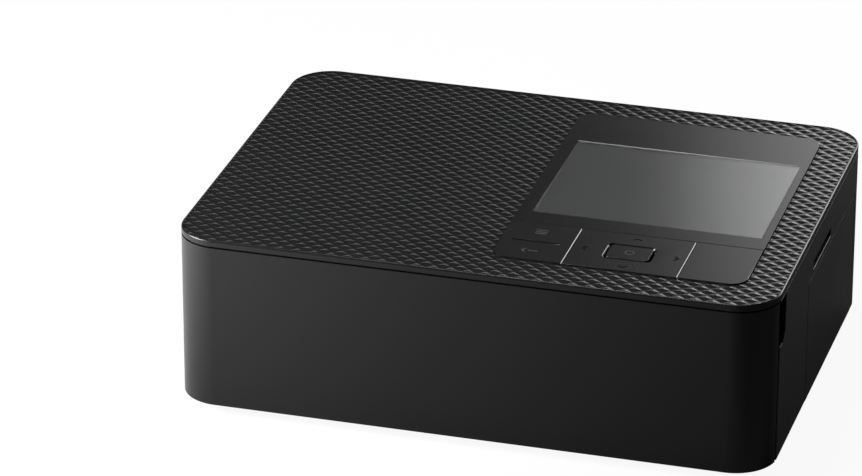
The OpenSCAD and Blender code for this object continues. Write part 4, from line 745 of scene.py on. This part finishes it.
for node in ("menu_key", "nav_key"):
    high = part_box(node)[1]
    chamfer(node, KEY_CHAMFER, lambda co: co.z > high.z - KEY_TOP and co.x > high.x - CLOSE)
ok_low, ok_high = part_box("ok_key")
ok_middle = (ok_low + ok_high) / 2
ok_half = (ok_high - ok_low) / 2


def at_recess_corner(co):
    """True for a point of the recess that stands off the middle key along both axes."""
    off_x = abs(co.x - ok_middle.x) - ok_half.x
    off_y = abs(co.y - ok_middle.y) - ok_half.y
    return RECESS_NEAR < off_x < RECESS_FAR and RECESS_NEAR < off_y < RECESS_FAR and co.z > ok_low.z


chamfer("nav_key", RECESS_CORNER, at_recess_corner, segments=4, longest=RECESS_DEEP)

# %% Rounded edges
BEVEL_FROM = math.radians(50)
CRISP = 40
CRISP_WINDOW = 24


def soften(piece, width, segments=2, angle=CRISP):
    """Rounds the sharp edges of a merged copy, or chamfers them with one segment."""
    bevel = piece.modifiers.new("round", "BEVEL")
    bevel.limit_method = "ANGLE"
    bevel.angle_limit = BEVEL_FROM
    bevel.width = width
    bevel.segments = segments
    apply_all(piece)
    smooth(piece, angle)
    level = piece.modifiers.new("level", "WEIGHTED_NORMAL")
    level.keep_sharp = True
    apply_all(piece)


CHAMFERED = ("menu_key", "nav_key", "print_key")
for node, width in ROUNDED.items():
    if node in CHAMFERED:
        soften(pieces[node], width * MM, segments=1)
    elif node == "panel_frame":
        soften(pieces[node], width * MM, angle=CRISP_WINDOW)
    else:
        soften(pieces[node], width * MM)

# %% [markdown]
# ## Marks on the keys
# The marks are thin prints: arrow heads on the large key, three bars and an arrow on the key at the left, a
# ring on the middle key. An arrow head is a flat strip whose middle is pulled forward. The faces of these
# keys were lowered by the height of the print, so that the print ends where the key ended.

# %% Mark maker
# a print stands in its key by the root and fills most of the room above the key
PRINT_ROOT = 0.04 * MM
PRINT_SHARE = 0.9
PRINT_FULL = PRINT_HIGH * PRINT_SHARE + PRINT_ROOT
RING_SIDES = 40


def to_key(block, x, y, top):
    """In edit mode: moves a mark that stands on the origin to its place on a key."""
    bpy.ops.mesh.select_all(action="SELECT")
    bpy.ops.mesh.normals_make_consistent(inside=False)
    bpy.ops.transform.translate(value=(x, y, top - PRINT_HIGH - PRINT_ROOT))
    bpy.ops.object.mode_set(mode="OBJECT")
    return block


def strip(wide, thick, point, x, y, turn, top):
    """A printed strip, or an arrow head where its middle is moved by a point."""
    bpy.ops.object.select_all(action="DESELECT")
    bpy.ops.mesh.primitive_plane_add(size=1, location=(0, 0, 0))
    block = bpy.context.object
    bpy.ops.object.mode_set(mode="EDIT")
    bpy.ops.transform.resize(value=(wide, thick, 1))
    bpy.ops.mesh.subdivide(number_cuts=1)
    pick(block, "VERT", lambda v: abs(v.co.x) < 1e-6)
    bpy.ops.transform.translate(value=(0, point, 0))
    bpy.ops.mesh.select_all(action="SELECT")
    bpy.ops.mesh.extrude_region_move(TRANSFORM_OT_translate={"value": (0, 0, PRINT_FULL)})
    bpy.ops.mesh.select_all(action="SELECT")
    bpy.ops.transform.rotate(value=math.radians(turn), orient_axis="Z", center_override=(0, 0, 0))
    return to_key(block, x, y, top)


def ring(outer, inner, x, y, top):
    """A printed ring: a disc whose inset middle is taken out."""
    bpy.ops.object.select_all(action="DESELECT")
    bpy.ops.mesh.primitive_circle_add(vertices=RING_SIDES, radius=outer, fill_type="NGON",
                                      location=(0, 0, 0))
    block = bpy.context.object
    bpy.ops.object.mode_set(mode="EDIT")
    bpy.ops.mesh.select_all(action="SELECT")
    bpy.ops.mesh.inset(thickness=outer - inner)
    bpy.ops.mesh.delete(type="FACE")
    bpy.ops.mesh.select_all(action="SELECT")
    bpy.ops.mesh.extrude_region_move(TRANSFORM_OT_translate={"value": (0, 0, PRINT_FULL)})
    return to_key(block, x, y, top)


def printed(node, blocks, name, look, slot):
    """Joins the marks of a key into one piece."""
    only(blocks[0])
    if len(blocks) > 1:
        for block in blocks:
            block.select_set(True)
        bpy.ops.object.join()
    dress(blocks[0], name, look, body_of[node], slot)


# %% Print the marks
# each strip's width and thickness, and how far its middle is pulled forward
NAV_ARROW = (2.6 * MM, 0.8 * MM, 0.9 * MM)
MENU_BAR = (3.6 * MM, 0.45 * MM, 0)
BACK_BAR = (3.0 * MM, 0.45 * MM, 0)
BACK_ARROW = (2.4 * MM, 0.6 * MM, 0.9 * MM)
RING_OUTER = 1.5 * MM
RING_INNER = 1.1 * MM
# places in millimetres, with the turns of the arrow heads on the large key
NAV_PLACES = ((42.6, -31.4, 0), (42.6, -49.6, 180), (29.2, -40.6, -90), (56.0, -40.6, 90))
MENU_BAR_Y = (-32.3, -33.5, -34.7)
MENU_BAR_X = 13.9 * MM
BACK_BAR_X = 14.6 * MM
BACK_ARROW_X = 12.3 * MM
BACK_Y = -46.8 * MM
nav_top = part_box("nav_key")[1].z
nav_marks = [strip(*NAV_ARROW, x * MM, y * MM, turn, nav_top) for x, y, turn in NAV_PLACES]
printed("nav_key", nav_marks, "nav_marks", mark_black, "rubber_black")
menu_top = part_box("menu_key")[1].z
menu_marks = [strip(*MENU_BAR, MENU_BAR_X, y * MM, 0, menu_top) for y in MENU_BAR_Y]
menu_marks += [strip(*BACK_BAR, BACK_BAR_X, BACK_Y, 0, menu_top),
               strip(*BACK_ARROW, BACK_ARROW_X, BACK_Y, -90, menu_top)]
printed("menu_key", menu_marks, "menu_marks", mark_grey, "display_grey")
ok_marks = [ring(RING_OUTER, RING_INNER, ok_middle.x, ok_middle.y, ok_high.z)]
printed("ok_key", ok_marks, "ok_marks", mark_grey, "display_grey")

# %% Dress the softened casings
for node, piece in pieces.items():
    dress(piece, node + "_soft", looks[slot_of[node]], body_of[node], slot_of[node], node)
